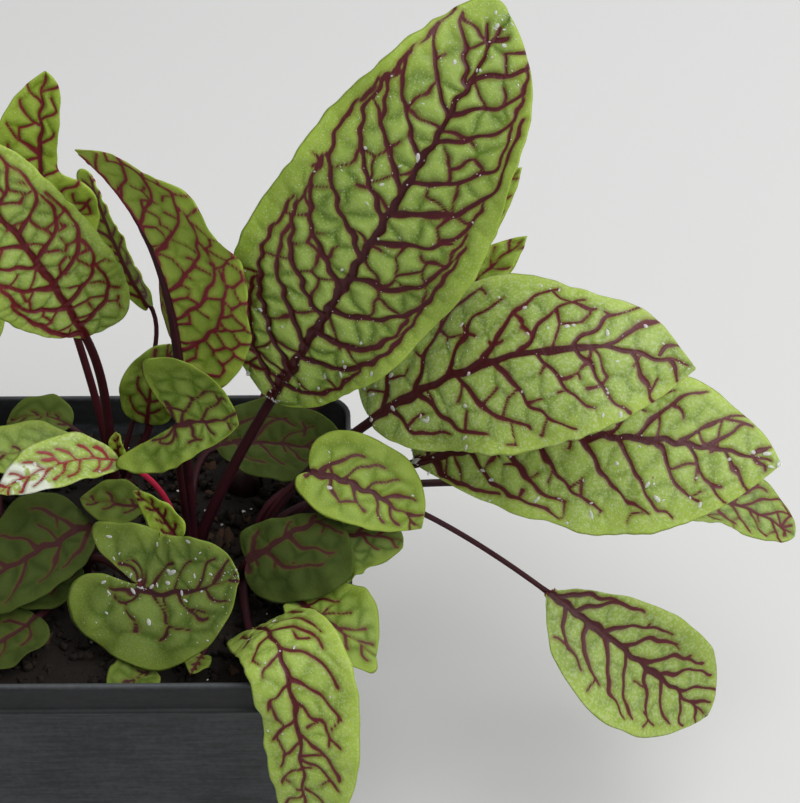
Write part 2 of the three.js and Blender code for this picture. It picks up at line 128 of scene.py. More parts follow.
soft_lamp("ceiling_lamp", (0.7, -0.5, 1.85), 2.3, 26.5)
soft_lamp("sheen_lamp", (0.8, 0.9, 1.2), 0.6, 6)
soft_lamp("fill_lamp", (0.8, -0.5, 0.9), 0.9, 4.4)
world = bpy.data.worlds.new("room")
world.use_nodes = True
background = world.node_tree.nodes["Background"].inputs
background["Color"].default_value = ROOM
background["Strength"].default_value = ROOM_POWER
scene.world = world

# %% [markdown]
# ## Shader maths in plain Python
# Every finish below is a sum of masks. Written as nodes by hand it would be a page of clicks, so
# one small class wraps a socket: `1 - mask` or `a * b` adds the Math node that does it. Colours go
# through Mix nodes, because a Math node would turn them grey.

# %% The socket class
class Socket:
    """An output of a node, ready to be used in sums."""

    def __init__(self, tree, output):
        self.tree = tree
        self.output = output

    def node(self, kind, inputs=None, output=0, **settings):
        """Adds a node: first its settings, then the values or links of its inputs."""
        node = self.tree.nodes.new("ShaderNode" + kind)
        for name, value in settings.items():
            setattr(node, name, value)
        for key, value in (inputs or {}).items():
            if isinstance(value, Socket):
                self.tree.links.new(value.output, node.inputs[key])
            else:
                node.inputs[key].default_value = value
        return Socket(self.tree, node.outputs[output])

    def attribute(self, name, output=1):
        """What the points carry under this name: output 1 is the vector, 2 a single number."""
        return self.node("Attribute", attribute_name=name, output=output)

    def math(self, operation, a, b):
        return self.node("Math", {0: a, 1: b}, operation=operation)

    def __add__(self, other):
        return self.math("ADD", self, other)

    def __sub__(self, other):
        return self.math("SUBTRACT", self, other)

    def __rsub__(self, other):
        return self.math("SUBTRACT", other, self)

    def __mul__(self, other):
        return self.math("MULTIPLY", self, other)

    __radd__ = __add__
    __rmul__ = __mul__

    def step(self, low, high):
        """0 below low, 1 above high, and a smooth rise between them."""
        ends = {0: self, 1: low, 2: high, 3: 0.0, 4: 1.0}
        return self.node("MapRange", ends, interpolation_type="SMOOTHSTEP")

    def fade(self, low, high):
        """1 below low, 0 above high."""
        return 1 - self.step(low, high)

    def mix(self, a, b):
        """Colour a where this mask is 0, colour b where it is 1."""
        return self.node("Mix", {0: self, 6: a, 7: b}, output=2, data_type="RGBA")

    def parts(self):
        """The three numbers of a vector."""
        node = self.tree.nodes.new("ShaderNodeSeparateXYZ")
        self.tree.links.new(self.output, node.inputs[0])
        return [Socket(self.tree, out) for out in node.outputs]

    def noise(self, size, detail=2.0, roughness=0.5):
        """Cloudy noise with lumps about this many millimetres across."""
        scale = 1 / (size * MM)
        inputs = {"Vector": self, "Scale": scale, "Detail": detail, "Roughness": roughness}
        return self.node("TexNoise", inputs)

    def cells(self, size):
        """Round cells about this many millimetres across: the distance to their middles."""
        return self.node("TexVoronoi", {"Vector": self, "Scale": 1 / (size * MM)})


def paint(red, green, blue):
    """A colour as a painter's chart gives it, 0 to 255, turned into light."""
    def light(c):
        c /= 255
        return c / 12.92 if c <= 0.04045 else ((c + 0.055) / 1.055) ** 2.4
    return (light(red), light(green), light(blue), 1.0)


def new_material(name):
    """A material with only its shader, and a socket to start sums from: the place on the object."""
    material = bpy.data.materials.new(name)
    material.use_nodes = True
    tree = material.node_tree
    tree.nodes.clear()
    shader = tree.nodes.new("ShaderNodeBsdfPrincipled")
    end = tree.nodes.new("ShaderNodeOutputMaterial")
    tree.links.new(shader.outputs[0], end.inputs[0])
    place = tree.nodes.new("ShaderNodeTexCoord")
    return material, shader, Socket(tree, place.outputs["Object"])


def finish_shader(shader, colour, roughness, specular, height=None, bump=0.0, depth=0.0):
    """Links what changes over the surface and sets how strongly it shines."""
    tree = shader.id_data
    shader.inputs["Specular IOR Level"].default_value = specular
    tree.links.new(colour.output, shader.inputs["Base Color"])
    tree.links.new(roughness.output, shader.inputs["Roughness"])
    if height is not None:
        normal = height.node("Bump", {"Strength": bump, "Distance": depth * MM, "Height": height})
        tree.links.new(normal.output, shader.inputs["Normal"])


print("a chart green as light:", [round(c, 3) for c in paint(110, 150, 70)[:3]])

# %% Floor
FLOOR_REACH = 4.0
corners = [(x * FLOOR_REACH, y * FLOOR_REACH, 0) for x, y in ((-1, -1), (1, -1), (1, 1), (-1, 1))]
floor_mesh = bpy.data.meshes.new("floor")
floor_mesh.from_pydata(corners, [], [(0, 1, 2, 3)])
floor = bpy.data.objects.new("floor", floor_mesh)
scene.collection.objects.link(floor)
material, shader, place = new_material("floor_paper")
paper = place.noise(400).mix(paint(204, 204, 203), paint(208, 208, 208))
finish_shader(shader, paper, place.noise(300) * 0.1 + 0.75, 0.2)
floor_mesh.materials.append(material)
floor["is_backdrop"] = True
print("floor:", 2 * FLOOR_REACH, "m wide")

# %% [markdown]
# ## Turning arrays of points into pieces
# Leaves with hundreds of rows would be slow to build face by face. The points come as one numpy
# array in millimetres, the faces as arrays of corner numbers, and both are handed to Blender in
# one go. Extra numbers per point, such as the distance to the nearest vein, go in as attributes
# that the materials read.

# %% Piece helper
def new_piece(name, points, faces, slot, material, attributes=None, replaces=()):
    """A smooth mesh from points in millimetres and lists of faces, riding on the plant's body."""
    mesh = bpy.data.meshes.new(name)
    mesh.vertices.add(len(points))
    mesh.vertices.foreach_set("co", (np.asarray(points) * MM).ravel())
    corners = np.concatenate([np.asarray(group).ravel() for group in faces]).astype(np.int32)
    sizes = np.concatenate([np.full(len(group), np.shape(group)[1]) for group in faces])
    mesh.loops.add(len(corners))
    mesh.loops.foreach_set("vertex_index", corners)
    mesh.polygons.add(len(sizes))
    mesh.polygons.foreach_set("loop_start", (np.cumsum(sizes) - sizes).astype(np.int32))
    mesh.update(calc_edges=True)
    mesh.polygons.foreach_set("use_smooth", np.ones(len(sizes), bool))
    for key, values in (attributes or {}).items():
        layer = mesh.attributes.new(key, "FLOAT_VECTOR", "POINT")
        layer.data.foreach_set("vector", np.asarray(values, float).ravel())
    mesh.materials.append(material)
    made = bpy.data.objects.new(name, mesh)
    scene.collection.objects.link(made)
    if replaces:
        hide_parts(*replaces)
    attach(made, "root")
    return made


def ring_faces(rings, count):
    """Faces of a skin over rings of as many points, with one face over each end."""
    i = np.arange(rings - 1)[:, None]
    j = np.arange(count)[None, :]
    k = (j + 1) % count
    quads = np.stack([i * count + j, i * count + k, (i + 1) * count + k, (i + 1) * count + j], -1)
    return [quads.reshape(-1, 4), j[:, ::-1], (rings - 1) * count + j]


# %% [markdown]
# ## Where every leaf is
# A leaf is told by five things: where the stalk meets the blade, the middle of the midrib, the
# tip, the way its upper side faces and its width. The outline of half a blade is one curve, bent
# by two or more handles, and a left half may have another outline than the right one. Folds lift
# the halves off the midrib, curls bend them on towards the edge. These are the same values as the
# solids have, so the fine skins land on them.

# %% Outlines and the usual leaf
OBLONG = (0.02, 1.0, 0.7, 1.22)
LANCE = (0.0, 1.3, 0.55, 0.9)
BLUNT = (0.0, 1.2, 0.95, 1.45)

USUAL = dict(
    forms=(OBLONG, OBLONG), fold=(8, 8), curl=(10, 10), wave=0.8, waves=3,
    stalk=1.1, rise=0.4, run=0.3, rib=0.75,
)
SMALL = dict(wave=0.4, rib=0.6)


def leaf(joint, middle, tip, face, width, **more):
    """The shape of one leaf in mm: what every leaf needs, and what is not as usual."""
    halves = width if isinstance(width, tuple) else (width / 2, width / 2)
    place = dict(joint=joint, middle=middle, tip=tip, face=face, face_tip=face)
    return {**USUAL, **place, "halves": halves, "width": sum(halves), **more}


# %% The crowns and their leaves
CROWNS = {
    "middle": (15, 4), "right": (29, -8), "left": (-12, -8),
    "back": (-6, 30), "far": (28, 32), "side": (-34, 4),
}
LEAVES = {}
LEAVES["middle"] = [
    leaf((38, 5, 134), (69, 2, 193.5), (95.5, 20, 234), (-0.3, -0.9, 0.3), (27.5, 25.5),
         stalk=1.5, rise=0.15, run=0.2, fold=(6, 6), curl=(12, 12), wave=1.2, waves=4,
         forms=((0.1, 1.9, 1.15, 0.6), (0.01, 0.7, 0.75, 1.8))),
    leaf((16, 4, 146.4), (10, 6, 182), (-5, 4, 208), (0.2, 0.85, 0.4), (22.3, 14),
         stalk=1.3, fold=(0, 48), curl=(-10, 15), wave=1.2,
         forms=((-0.42, 0.48, 0.46, 1.85, 0.88, 0.73), (0.1, 0.5, 0.3, 0.9, 0.7, 0.9))),
    leaf((15.5, -9, 137), (23, -10.5, 139), (31, -13, 140), (-0.35, -0.75, 0.6), (23.7, 10.8),
         stalk=1, run=0.05, fold=(20, 0), curl=(60, -10), wave=0.5,
         forms=((-0.47, 0.74, 0.26, 1.82), (-2.67, 0.97, 0.3, 1.66))),
    leaf((22, 22, 105), (39, 24, 104), (58, 24, 99), (0, -0.35, 1), 26),
    leaf((5, -3, 105), (-4, -1, 105), (-12, 1, 105), (0, -0.4, 1), 13, **SMALL),
    leaf((0, -6, 123), (-13, -14, 129), (-28, -22, 126), (0, -0.45, 0.9), (7, 7.2),
         stalk=0.8, forms=((-0.13, 0.37, 0.59, 2.05), (0.22, 1.67, 0.88, 0.95))),
    leaf((14, -13, 103), (9, -10, 110), (3, -9, 116), (-0.3, -0.8, 0.5), 9,
         **SMALL, forms=(LANCE, LANCE)),
]
LEAVES["right"] = [
    leaf((63, 5, 127), (103, -4, 155), (142, -6, 151), (-0.1, -0.7, 0.7), (23.6, 23.5),
         stalk=1.4, fold=(-10, 0), curl=(-20, -4),
         forms=((-0.13, 1.25, 0.57, 1.41), (-0.1, 0.4, 0.7, 2.1))),
    leaf((74, 10, 109), (121, 5, 121), (167, 0, 116), (0, -0.6, 0.85), (23, 24.8),
         stalk=1.3, fold=(0, -6), curl=(0, -10),
         forms=((-0.04, 1.22, 0.73, 1.44), (0.08, 0.45, 0.66, 2))),
    leaf((125, 36, 80), (156, 36, 75), (180, 31.5, 64), (0.1, -0.3, 1), 22,
         forms=(BLUNT, BLUNT)),
    leaf((109, -6, 78), (130, -12, 62), (153, -12, 38), (0.35, -0.75, 0.6), (16, 20.5),
         stalk=0.8, rise=0.8, run=0.45, wave=0.5, waves=2,
         forms=((0.25, 1, 0.9, 1.6), (0.05, 0.5, 0.5, 1.9))),
    leaf((48, -6, 119), (62.5, -9, 115), (75.5, -11, 104.5), (0.1, -0.6, 0.8), (13.2, 10.5),
         stalk=0.9, rise=0.6, run=0.05, fold=(6, 6), curl=(4, 4), wave=0.5, waves=2,
         forms=((-0.28, 1.07, 0.74, 1.57), (-0.4, 0.2, 0.35, 2.1))),
    leaf((31.5, -17.2, 99.5), (42, -15.2, 106), (54, -11.2, 110), (0, -0.5, 0.85), (7, 19.9),
         rise=0.15, forms=((0, 1.4, 0.4, 0.7), (-0.49, 0.6, 1.2, 1.91))),
    leaf((50, -10, 98.5), (60, -8, 99.8), (71, -9, 98), (0, -0.2, 1), (6, 16.8),
         forms=(BLUNT, (-0.4, 2, 1.15, 0.44))),
    leaf((44.6, -30, 97), (54, -40, 98), (64, -46.5, 94), (0, -0.1, 1), (12.5, 8),
         rise=0.15, wave=0.5, waves=2,
         forms=((-0.11, 0.83, 0.7, 1.76), (-0.4, 1.06, 1.45, 1.58))),
    leaf((33, -35, 92), (43, -60, 101.5), (47, -72, 52), (0, 0, 1), (15.5, 9.5),
         face_tip=(0, -1, 0.15), fold=(4, -8), curl=(8, -10), stalk=1.2,
         forms=((0.15, 1.2, 0.8, 1), (-0.1, 1.2, 0.3, 0.5, 0.8, 1.3))),
    leaf((21, -40, 89), (20, -44, 90), (19, -48, 90), (0, -0.4, 1), 7, stalk=0.6, **SMALL),
]
LEAVES["left"] = [
    leaf((6.8, -34.5, 106.3), (17, -39.5, 109), (31.5, -43.5, 118.5), (-0.1, -0.6, 0.75),
         (15.1, 19.2), rise=0.6, run=0.05, fold=(12, -15), curl=(25, -10),
         forms=((-1.95, 0.56, 1.14, 1.94), (-1.5, 0.15, 0, 2.2))),
    leaf((-9, -3, 100), (-21, -15, 101.5), (-40, -27, 96.5), (0, -0.5, 0.85), (13, 13.6),
         forms=((0.16, 1.2, 1, 1.46), (-0.01, 1.28, 0.57, 1.38))),
    leaf((-12, -12, 95), (-20, -20, 93), (-28, -26, 94), (0, -0.4, 0.9), 14, **SMALL),
    leaf((-21, -27.4, 90.5), (-29, -36.4, 90), (-39, -43.4, 88.5), (0, -0.3, 1), 20, rise=0.15),
    leaf((9, -44, 88.3), (4, -48.5, 88.4), (-1, -53, 88), (0, -0.1, 1), 14, rise=0.2, **SMALL),
]
LEAVES["back"] = [
    leaf((-9, 18, 144), (-20, 9, 178), (-35, 2, 209), (0.25, -0.85, 0.3), (15.5, 17),
         stalk=1.3, wave=1.4, forms=((0.2, 1, 0.4, 1.6), (-0.05, 1.5, 0.5, 0.5, 1, 1.1))),
    leaf((-19, 40, 157), (-19.5, 42, 181), (-16.7, 46, 204.5), (0.1, -0.9, 0.3), (15.7, 14.4),
         forms=((0.01, 1.56, 0.17, 0.81, 0.73, 1.16),
                (-0.39, 1.49, 1.53, 2.06, -0.56, -1.77, 0.89, 1.36))),
    leaf((3.5, 50, 130.4), (-4, 52, 148.7), (-10, 58, 167.5), (-0.6, -0.6, 0.3), 13,
         stalk=0.7, wave=0.5, forms=((-0.31, 1.01, 1.26, 1.62), LANCE)),
    leaf((-13, 25, 99), (-28, 21, 104), (-46, 14, 106), (0, -0.3, 1), 18),
    leaf((3, 34, 103), (5, 34, 116), (12, 36, 128), (-0.2, -0.8, 0.4), 17, **SMALL),
    leaf((-19, 42, 96), (-28, 44, 98), (-37, 44, 95), (0, -0.2, 1), 14, **SMALL),
    leaf((-3, 21, 100), (-4, 21, 105), (-4, 22, 110), (-0.3, -0.9, 0.3), 5, stalk=0.6, **SMALL),
]
LEAVES["far"] = [
    leaf((60, 50, 118), (82, 60, 142), (103, 68, 162), (-0.3, -0.8, 0.5), 22),
    leaf((70, 44, 124), (88, 47, 138), (104, 52, 151), (-0.3, -0.7, 0.7), 14, **SMALL),
    leaf((62, 54, 106), (88, 74, 112), (112, 92, 98), (0.3, 0.3, 1), 36),
    leaf((36, 60, 104), (44, 84, 109), (52, 108, 98), (0, 0.2, 1), 34),
]
LEAVES["side"] = [
    leaf((-52, 14, 128), (-74, 22, 168), (-92, 30, 196), (0.6, -0.2, 0.7), 42),
    leaf((-58, -6, 112), (-88, -12, 128), (-118, -16, 120), (0, -0.2, 1), 38),
    leaf((-50, -26, 104), (-66, -48, 106), (-80, -70, 90), (0.1, -0.3, 1), 30),
    leaf((-48, 30, 100), (-70, 50, 104), (-92, 66, 92), (0, 0.1, 1), 32),
    leaf((-48, 6, 99), (-63, 9, 100), (-78, 11, 92), (0, -0.1, 1), 22),
    leaf((-44, 56, 110), (-56, 84, 116), (-66, 108, 104), (-0.2, 0.2, 1), 28),
]
print("leaves:", sum(map(len, LEAVES.values())), "on", len(CROWNS), "crowns")

# %% [markdown]
# ## How each leaf looks
# Old leaves carry a thick net of dark red almost to the edge. Young ones are yellow-green with a
# bright rib and a few side veins that end in the green, and low ones in the shade are given
# painted shade, a darker and duller colour. So besides its shape a leaf gets the reach and
# thickness of its red, the distance between its side veins, how many of them branch and close to
# loops, the size of its cells, how much they puff up, how red, pale and shaded it is, how much
# painted sheen and gloss it gets and how dewy it is.

# %% Looks
def looks(extent=0.78, thick=1, pace=7, branch=0.5, loops=0.1, cell=5, puff=0.5,
          red=0.25, pale=0.2, shade=0, sheen=0, dew=0):
    """The words of one leaf, and the usual value of each."""
    return locals()


LOOKS = {
    "middle_1": looks(0.84, 1.3, 10, 0.8, 0.5, 6.5, 1.2, red=0.05, pale=0.05, sheen=0.1, dew=1),
    "middle_2": looks(0.96, 1.05, 9, 0.9, 0.45, 4.8, pale=0),
    "middle_3": looks(0.55, 0.6, 6.5, 0.12, 0, 5, 0.45, red=0.1, pale=0.1, shade=0.35),
    "middle_4": looks(0.6, 0.8, red=0, shade=1),
    "middle_5": looks(0.4, 0.7, 7, 0.5, 0.1, 5, 0.2, shade=0.7),
    "middle_6": looks(0.7, 0.38, 5, 0.15, 0, 4, 0.25, red=1, pale=0.5, sheen=0.5, dew=0.6),
    "middle_7": looks(0.5, 0.8, 4, 0.5, 0.1, 3, 0.3, pale=0.5, shade=0.1),
    "right_1": looks(0.86, 1.15, 11, 0.75, 0.3, 6.5, 0.6, red=0.1, pale=0.15, sheen=0.32, dew=1),
    "right_2": looks(0.86, 1.15, 9.5, 0.75, 0.3, 6.5, 0.6, red=0.1, pale=0.25, sheen=0.28, dew=0.9),
    "right_3": looks(0.88, 1.15, 6, 0.7, 0.2, 4.5, 0.2, red=0.2, pale=0, shade=0.2, sheen=0.2),
    "right_4": looks(0.8, 1.3, 7.5, 0.6, 0.02, 6, 0.35, red=0.1, shade=0.2, sheen=0.3),
    "right_5": looks(0.6, 1.1, 6.5, 0.15, 0, 6, red=0.12, pale=0.3, shade=0.22, dew=0.25),
    "right_6": looks(0.65, 1.3, 8, 0.15, 0, 5, 0.3, red=0, pale=0, shade=1),
    "right_7": looks(0.5, 1, 7, 0.1, 0, 4.5, 0.2, red=0.4, pale=0, shade=0.6),
    "right_8": looks(0.5, 0.85, 7, 0.1, 0, 5, 0.2, red=0.2, pale=0.15, shade=0.3),
    "right_9": looks(0.76, 0.85, 7.5, 0.75, 0.3, 5.5, red=0.2, pale=0.3, sheen=0.2, dew=0.3),
    "right_10": looks(0.3, 0.5, 7, 0.5, 0.1, 3, 0.1, pale=0.4, shade=0.5),
    "left_1": looks(0.6, 0.7, 8, 0.25, 0, 7, red=0, pale=0.05, shade=0.5, sheen=0.05, dew=1.1),
    "left_2": looks(0.78, 1.15, 9.5, 0.25, 0, 7, red=0, pale=0, shade=1),
    "left_3": looks(0.4, 0.8, 7, 0.5, 0.1, 5, 0.2, shade=1),
    "left_4": looks(0.5, 0.9, 7, 0.1, 0.1, 5, 0.3, red=0, shade=1),
    "left_5": looks(0.2, 0.4, 7, 0.5, 0.1, 4, 0.1, red=0, shade=0.7),
    "back_1": looks(0.84, 1.35, 9, 0.9, 0.5, 4.4, 1.1, red=0.35, sheen=0.2),
    "back_2": looks(0.85, 0.9, 8, 0.6, 0.2, 5.5, 0.7, red=0.45, pale=0.5, shade=0.1),
    "back_3": looks(0.9, 1.5, 5, 0.5, 0.1, 3.5, 0.2, red=0.3, pale=0.5),
    "back_4": looks(0.3, 0.4, 7, 0.5, 0.1, 4.5, 0.3, shade=0.2, sheen=0.1),
    "back_5": looks(0.6, 0.8, 5, 0.5, 0.1, 4.5, 0.3, red=0.3, shade=0.3),
    "back_6": looks(0.3, 0.5, 7, 0.5, 0.1, 5, 0.2, shade=0.8),
    "back_7": looks(0.5, 0.6, 4, 0.5, 0.1, 2.5, 0.1, pale=0.8),
    "side_1": looks(0.88, 1.2, 10.5, 0.8, 0.4, 6, 0.9),
    "side_2": looks(0.85, 1.2, 10, 0.7, 0.35, 6, 0.8),
    **dict.fromkeys(("side_3", "side_4", "side_6"), looks(0.78, 1.2, 8.5)),
    **dict.fromkeys(("far_3", "far_4"), looks(0.85, 1.2, 9.5, 0.7, 0.2, 6, 0.8)),
}


def look_of(name):
    return LOOKS.get(name, looks())


print("looks of their own:", len(LOOKS))

# %% [markdown]
# ## The skin of a blade
# Rows run from the joint to the tip, columns from the left edge over the midrib to the right one.
# Every point is reached from the midrib: along it by its row, then sideways on an arc that folds
# and curls, and last up or down with the ripple of the edge. The same row and column also give
# the point's place on the leaf pressed flat, and that is where the veins are drawn.

# %% Midribs
RIB_SPACING = 1.7
SWEEP = 1.4
OTHER_SIDE = 1.3
STRAIGHT = 1e-6
EDGE_STEPS, LEAST_ROWS, LEAST_COLUMNS = 801, 16, 6


def unit(v):
    return v / np.maximum(np.linalg.norm(v, axis=-1, keepdims=True), 1e-12)


def bezier(t, *points):
    """The curve that leaves the first point, ends at the last and is drawn towards the others."""
    n = len(points) - 1
    return sum(math.comb(n, k) * t ** k * (1 - t) ** (n - k) * p for k, p in enumerate(points))


def run_along(points):
    """Way walked to each of the points, in mm."""
    return np.concatenate([[0], np.cumsum(np.linalg.norm(np.diff(points, axis=0), axis=1))])


class Midrib:
    """The curve that carries a blade, with the way the blade faces at each share of its length."""

    def __init__(self, spec):
        keys = ("joint", "middle", "tip", "face", "face_tip")
        joint, middle, tip, self.face, self.face_tip = (np.array(spec[key], float) for key in keys)
        self.ends = joint, 2 * middle - (joint + tip) / 2, tip
        self.t = np.linspace(0, 1, 201)
        self.run = run_along(bezier(self.t[:, None], *self.ends))
        self.length = self.run[-1]

    def at(self, share):
        """Point, tangent, upper side and right side at shares of the length."""
        joint, handle, tip = self.ends
        inside = np.clip(share, 0, 1)
        t = np.interp(inside * self.length, self.run, self.t)[..., None]
        tangent = unit(2 * (1 - t) * (handle - joint) + 2 * t * (tip - handle))
        point = bezier(t, *self.ends) + tangent * ((share - inside) * self.length)[..., None]
        normal = self.face + (self.face_tip - self.face) * inside[..., None]
        normal = unit(normal - np.sum(normal * tangent, -1, keepdims=True) * tangent)
        return point, tangent, normal, np.cross(tangent, normal)


# %% Outline and flat plan
def outline(form, u):
    """Half outline from the joint to the tip: how far along and how far out it is."""
    return bezier(u, 0, *form[::2], 1), bezier(u, 0, *form[1::2], 0)


def flat_place(spec, side, u, across):
    """Share along the midrib, distance from it in mm and share of the way to the widest edge."""
    x, y = outline(spec["forms"][side], u)
    widest = outline(spec["forms"][side], np.arange(0, 1.001, 0.02))[1].max()
    start = u ** RIB_SPACING
    share = start + (x - start) * across ** SWEEP
    reach = y / widest * across
    return share, spec["halves"][side] * reach, reach


def blade_points(spec, midrib, u, v):
    """The middle surface of a blade in mm, and each point's place on the leaf pressed flat."""
    left = v < 0
    places = [flat_place(spec, side, u, np.abs(v)) for side in (0, 1)]
    share, outwards, reach = (np.where(left, a, b) for a, b in zip(*places))
    half = np.where(left, *spec["halves"])
    fold = np.radians(np.where(left, *spec["fold"]))
    curl = np.radians(np.where(left, *spec["curl"]))
    curl = np.where(curl == 0, STRAIGHT, curl)
    angle = fold + curl * reach
    sideways = half * (np.sin(angle) - np.sin(fold)) / curl
    ripple = np.sin(2 * np.pi * spec["waves"] * share + OTHER_SIDE * ~left)
    upwards = half * (np.cos(fold) - np.cos(angle)) / curl + spec["wave"] * reach ** 2 * ripple
    point, _, normal, right = midrib.at(share)
    point = point + right * (np.sign(v) * sideways)[..., None] + normal * upwards[..., None]
    return point, np.stack([share * midrib.length, np.sign(v) * outwards], -1)


def even_rows(spec, midrib, spacing):
    """Rows that are nowhere much further apart than asked, on the midrib or on either edge."""
    u = np.linspace(0, 1, EDGE_STEPS)
    steps = [np.diff(u ** RIB_SPACING * midrib.length)]
    for side in (0, 1):
        x, y, _ = flat_place(spec, side, u, np.ones_like(u))
        steps.append(np.hypot(np.diff(x * midrib.length), np.diff(y)))
    run = np.concatenate([[0], np.cumsum(np.max(steps, axis=0))])
    rows = max(LEAST_ROWS, int(run[-1] / spacing))
    return np.interp(np.linspace(0, run[-1], rows + 1), run, u)


largest = Midrib(LEAVES["middle"][0])
print("midrib of the largest leaf:", round(largest.length), "mm")

# %% [markdown]
# ## Growing the veins
# The red net is a road map. Side roads leave the midrib one after another, sweep towards the tip
# and bend along the margin, where on an old leaf each runs into the next one. Between them lie
# lanes: points scattered over half a flat blade make cells, and the borders of the cells are all
# the lanes there could be. The shortest ways from each crossing back to a road become branches,
# and chance decides which are coloured, which close to a loop, and which are dead ends.

# %% Cells and crossings
def wobble(points, seed, size):
    """Smooth random hills between about -1 and 1, the same each time, with this many mm a hill."""
    rng = np.random.default_rng(seed)
    x, y = points[..., 0], points[..., 1]
    total = 0
    for _ in range(5):
        heading = rng.uniform(0, 2 * np.pi)
        pace = 2 * np.pi / size * rng.uniform(0.6, 1.5)
        shift = rng.uniform(0, 2 * np.pi)
        total = total + np.sin(x * pace * np.cos(heading) + y * pace * np.sin(heading) + shift)
    return total / 2.6


def stretches(line):
    """Each point or width of a line with the one after it."""
    return np.stack([line[:-1], line[1:]], 1)


def half_edge(spec, side, midrib, steps):
    """The edge of half a flat blade in mm: how far along and how far out."""
    u = np.linspace(0, 1, steps)
    share, away, _ = flat_place(spec, side, u, np.ones_like(u))
    return share * midrib.length, away


def crossings(spec, side, midrib, cell, rng):
    """Cell corners of half a flat blade, and the pairs of them that share a border."""
    x, y = half_edge(spec, side, midrib, 61)
    pitch = 0.87 * cell
    rows = int((np.ptp(x) + 3 * cell) / pitch) + 1
    columns = int((y.max() + 1.5 * cell) / cell) + 1
    i, j = np.meshgrid(np.arange(rows), np.arange(columns), indexing="ij")
    sites = np.stack([x.min() - 1.2 * cell + pitch * i, cell * (j + 0.55 + 0.5 * (i % 2))], -1)
    sites = sites.reshape(-1, 2)
    sites = sites + rng.uniform(-0.3, 0.3, sites.shape) * cell
    sites[:, 1] = np.maximum(sites[:, 1], 0.3 * cell)
    mirrored = [Vector(p) for p in np.concatenate([sites, sites * (1, -1)])]
    corners, _, triangles, *_ = geometry.delaunay_2d_cdt(mirrored, [], [], 0, 1e-5)
    corners = np.array([tuple(c) for c in corners])
    a, b, c = (corners[[t[k] for t in triangles]] for k in range(3))
    ab, bc, ca = a - b, b - c, c - a
    d = 2 * (a[:, 0] * bc[:, 1] + b[:, 0] * ca[:, 1] + c[:, 0] * ab[:, 1])
    a2, b2, c2 = ((p ** 2).sum(1) for p in (a, b, c))
    centres = np.stack([
        (a2 * bc[:, 1] + b2 * ca[:, 1] + c2 * ab[:, 1]) / d,
        -(a2 * bc[:, 0] + b2 * ca[:, 0] + c2 * ab[:, 0]) / d,
    ], -1)
    borders = {}
    for number, triangle in enumerate(triangles):
        for k in range(3):
            border = tuple(sorted((triangle[k], triangle[(k + 1) % 3])))
            borders.setdefault(border, []).append(number)
    _, first, same = np.unique(np.round(centres, 2), axis=0, return_index=True, return_inverse=True)
    same = same.reshape(-1).tolist()
    pairs = {tuple(sorted((same[p[0]], same[p[1]]))) for p in borders.values() if len(p) == 2}
    return centres[first], sorted(p for p in pairs if p[0] != p[1])


# %% Side roads
STRIDE, LONGEST_ROAD = 0.5, 240
ROAD_ANGLES, TURN_TO_TIP = (56, 68), 18
ARCHED, ARCH_AT = 0.3, 0.76
OWN_START, MERGE_WITHIN = 8, 0.8


def side_roads(spec, side, midrib, look, rng):
    """Side veins of half a flat blade: lines of points in mm."""
    length = midrib.length
    along, away = half_edge(spec, side, midrib, 400)
    stops = np.linspace(0, length, 60)
    window = 0.04 * length
    width = np.array([away[np.abs(along - stop) < window].max(initial=0.1) for stop in stops])
    count = max(3, round(length / look["pace"]))
    spacing = length / (count + 0.3)
    arched = look["loops"] > ARCHED
    roads = []
    for k in range(count):
        start = spacing * (k + 0.3 + 0.35 * side + rng.uniform(-0.15, 0.15))
        angle = ROAD_ANGLES[side] - TURN_TO_TIP * start / length
        heading = math.radians(angle + rng.uniform(-5, 5))
        if arched:
            arch = ARCH_AT + rng.uniform(-0.06, 0.05)
        else:
            arch = look["extent"] * rng.uniform(0.75, 1.0)
        road = [(start, 0.0)]
        followed = 0
        while len(road) < LONGEST_ROAD and followed < (1.7 * spacing if arched else STRIDE):
            x, y = road[-1]
            room = 1 - y / max(arch * np.interp(x, stops, width), 0.1)
            turn = heading * (0.3 + 0.7 * min(1, max(room, 0) / 0.5))
            x += STRIDE * math.cos(turn)
            y += STRIDE * math.sin(turn)
            limit = arch * np.interp(x, stops, width)
            if y > limit:
                y = limit
                followed += STRIDE
            if x > 0.96 * length:
                break
            road.append((x, y))
        road = np.array(road)
        bend = 0.35 * np.sin(np.linspace(0, rng.uniform(5, 12), len(road)) + rng.uniform(0, 6))
        road[:, 0] += bend * np.clip(road[:, 1] / 4, 0, 1)
        roads.append(road)
    if arched:
        for first, second in zip(roads[-2::-1], roads[:0:-1]):
            gaps = np.linalg.norm(first[OWN_START:, None] - second[None], axis=-1)
            near = np.nonzero(gaps.min(1) < MERGE_WITHIN)[0]
            if len(near):
                cut = near[0] + OWN_START
                first[cut:] = second[gaps[near[0]].argmin()]
                first.resize((cut + 1, 2), refcheck=False)
    roads = [np.concatenate([road[::3], road[-1:]]) for road in roads]
    lobe = along.min()
    if lobe < -2:
        deep = away[along < 0.5 * lobe].mean()
        t = np.linspace(0, 1, 12)[:, None]
        for bend, reach in ((0.5, 0.9), (1.1, 0.7)):
            end = np.array([lobe * reach * 0.8, deep * (0.5 + 0.3 * bend)])
            hook = np.array([0.15 * lobe, deep * 0.75 * bend])
            roads.append(2 * t * (1 - t) * hook + t ** 2 * end * look["extent"])
    return roads


# %% The lanes of one half
GROWN_WIDTH = 45
ROAD_WIDTH, LANE_WIDTH = 1.3, 0.58
DEAD_ENDS, SPURS = 0.35, 0.25


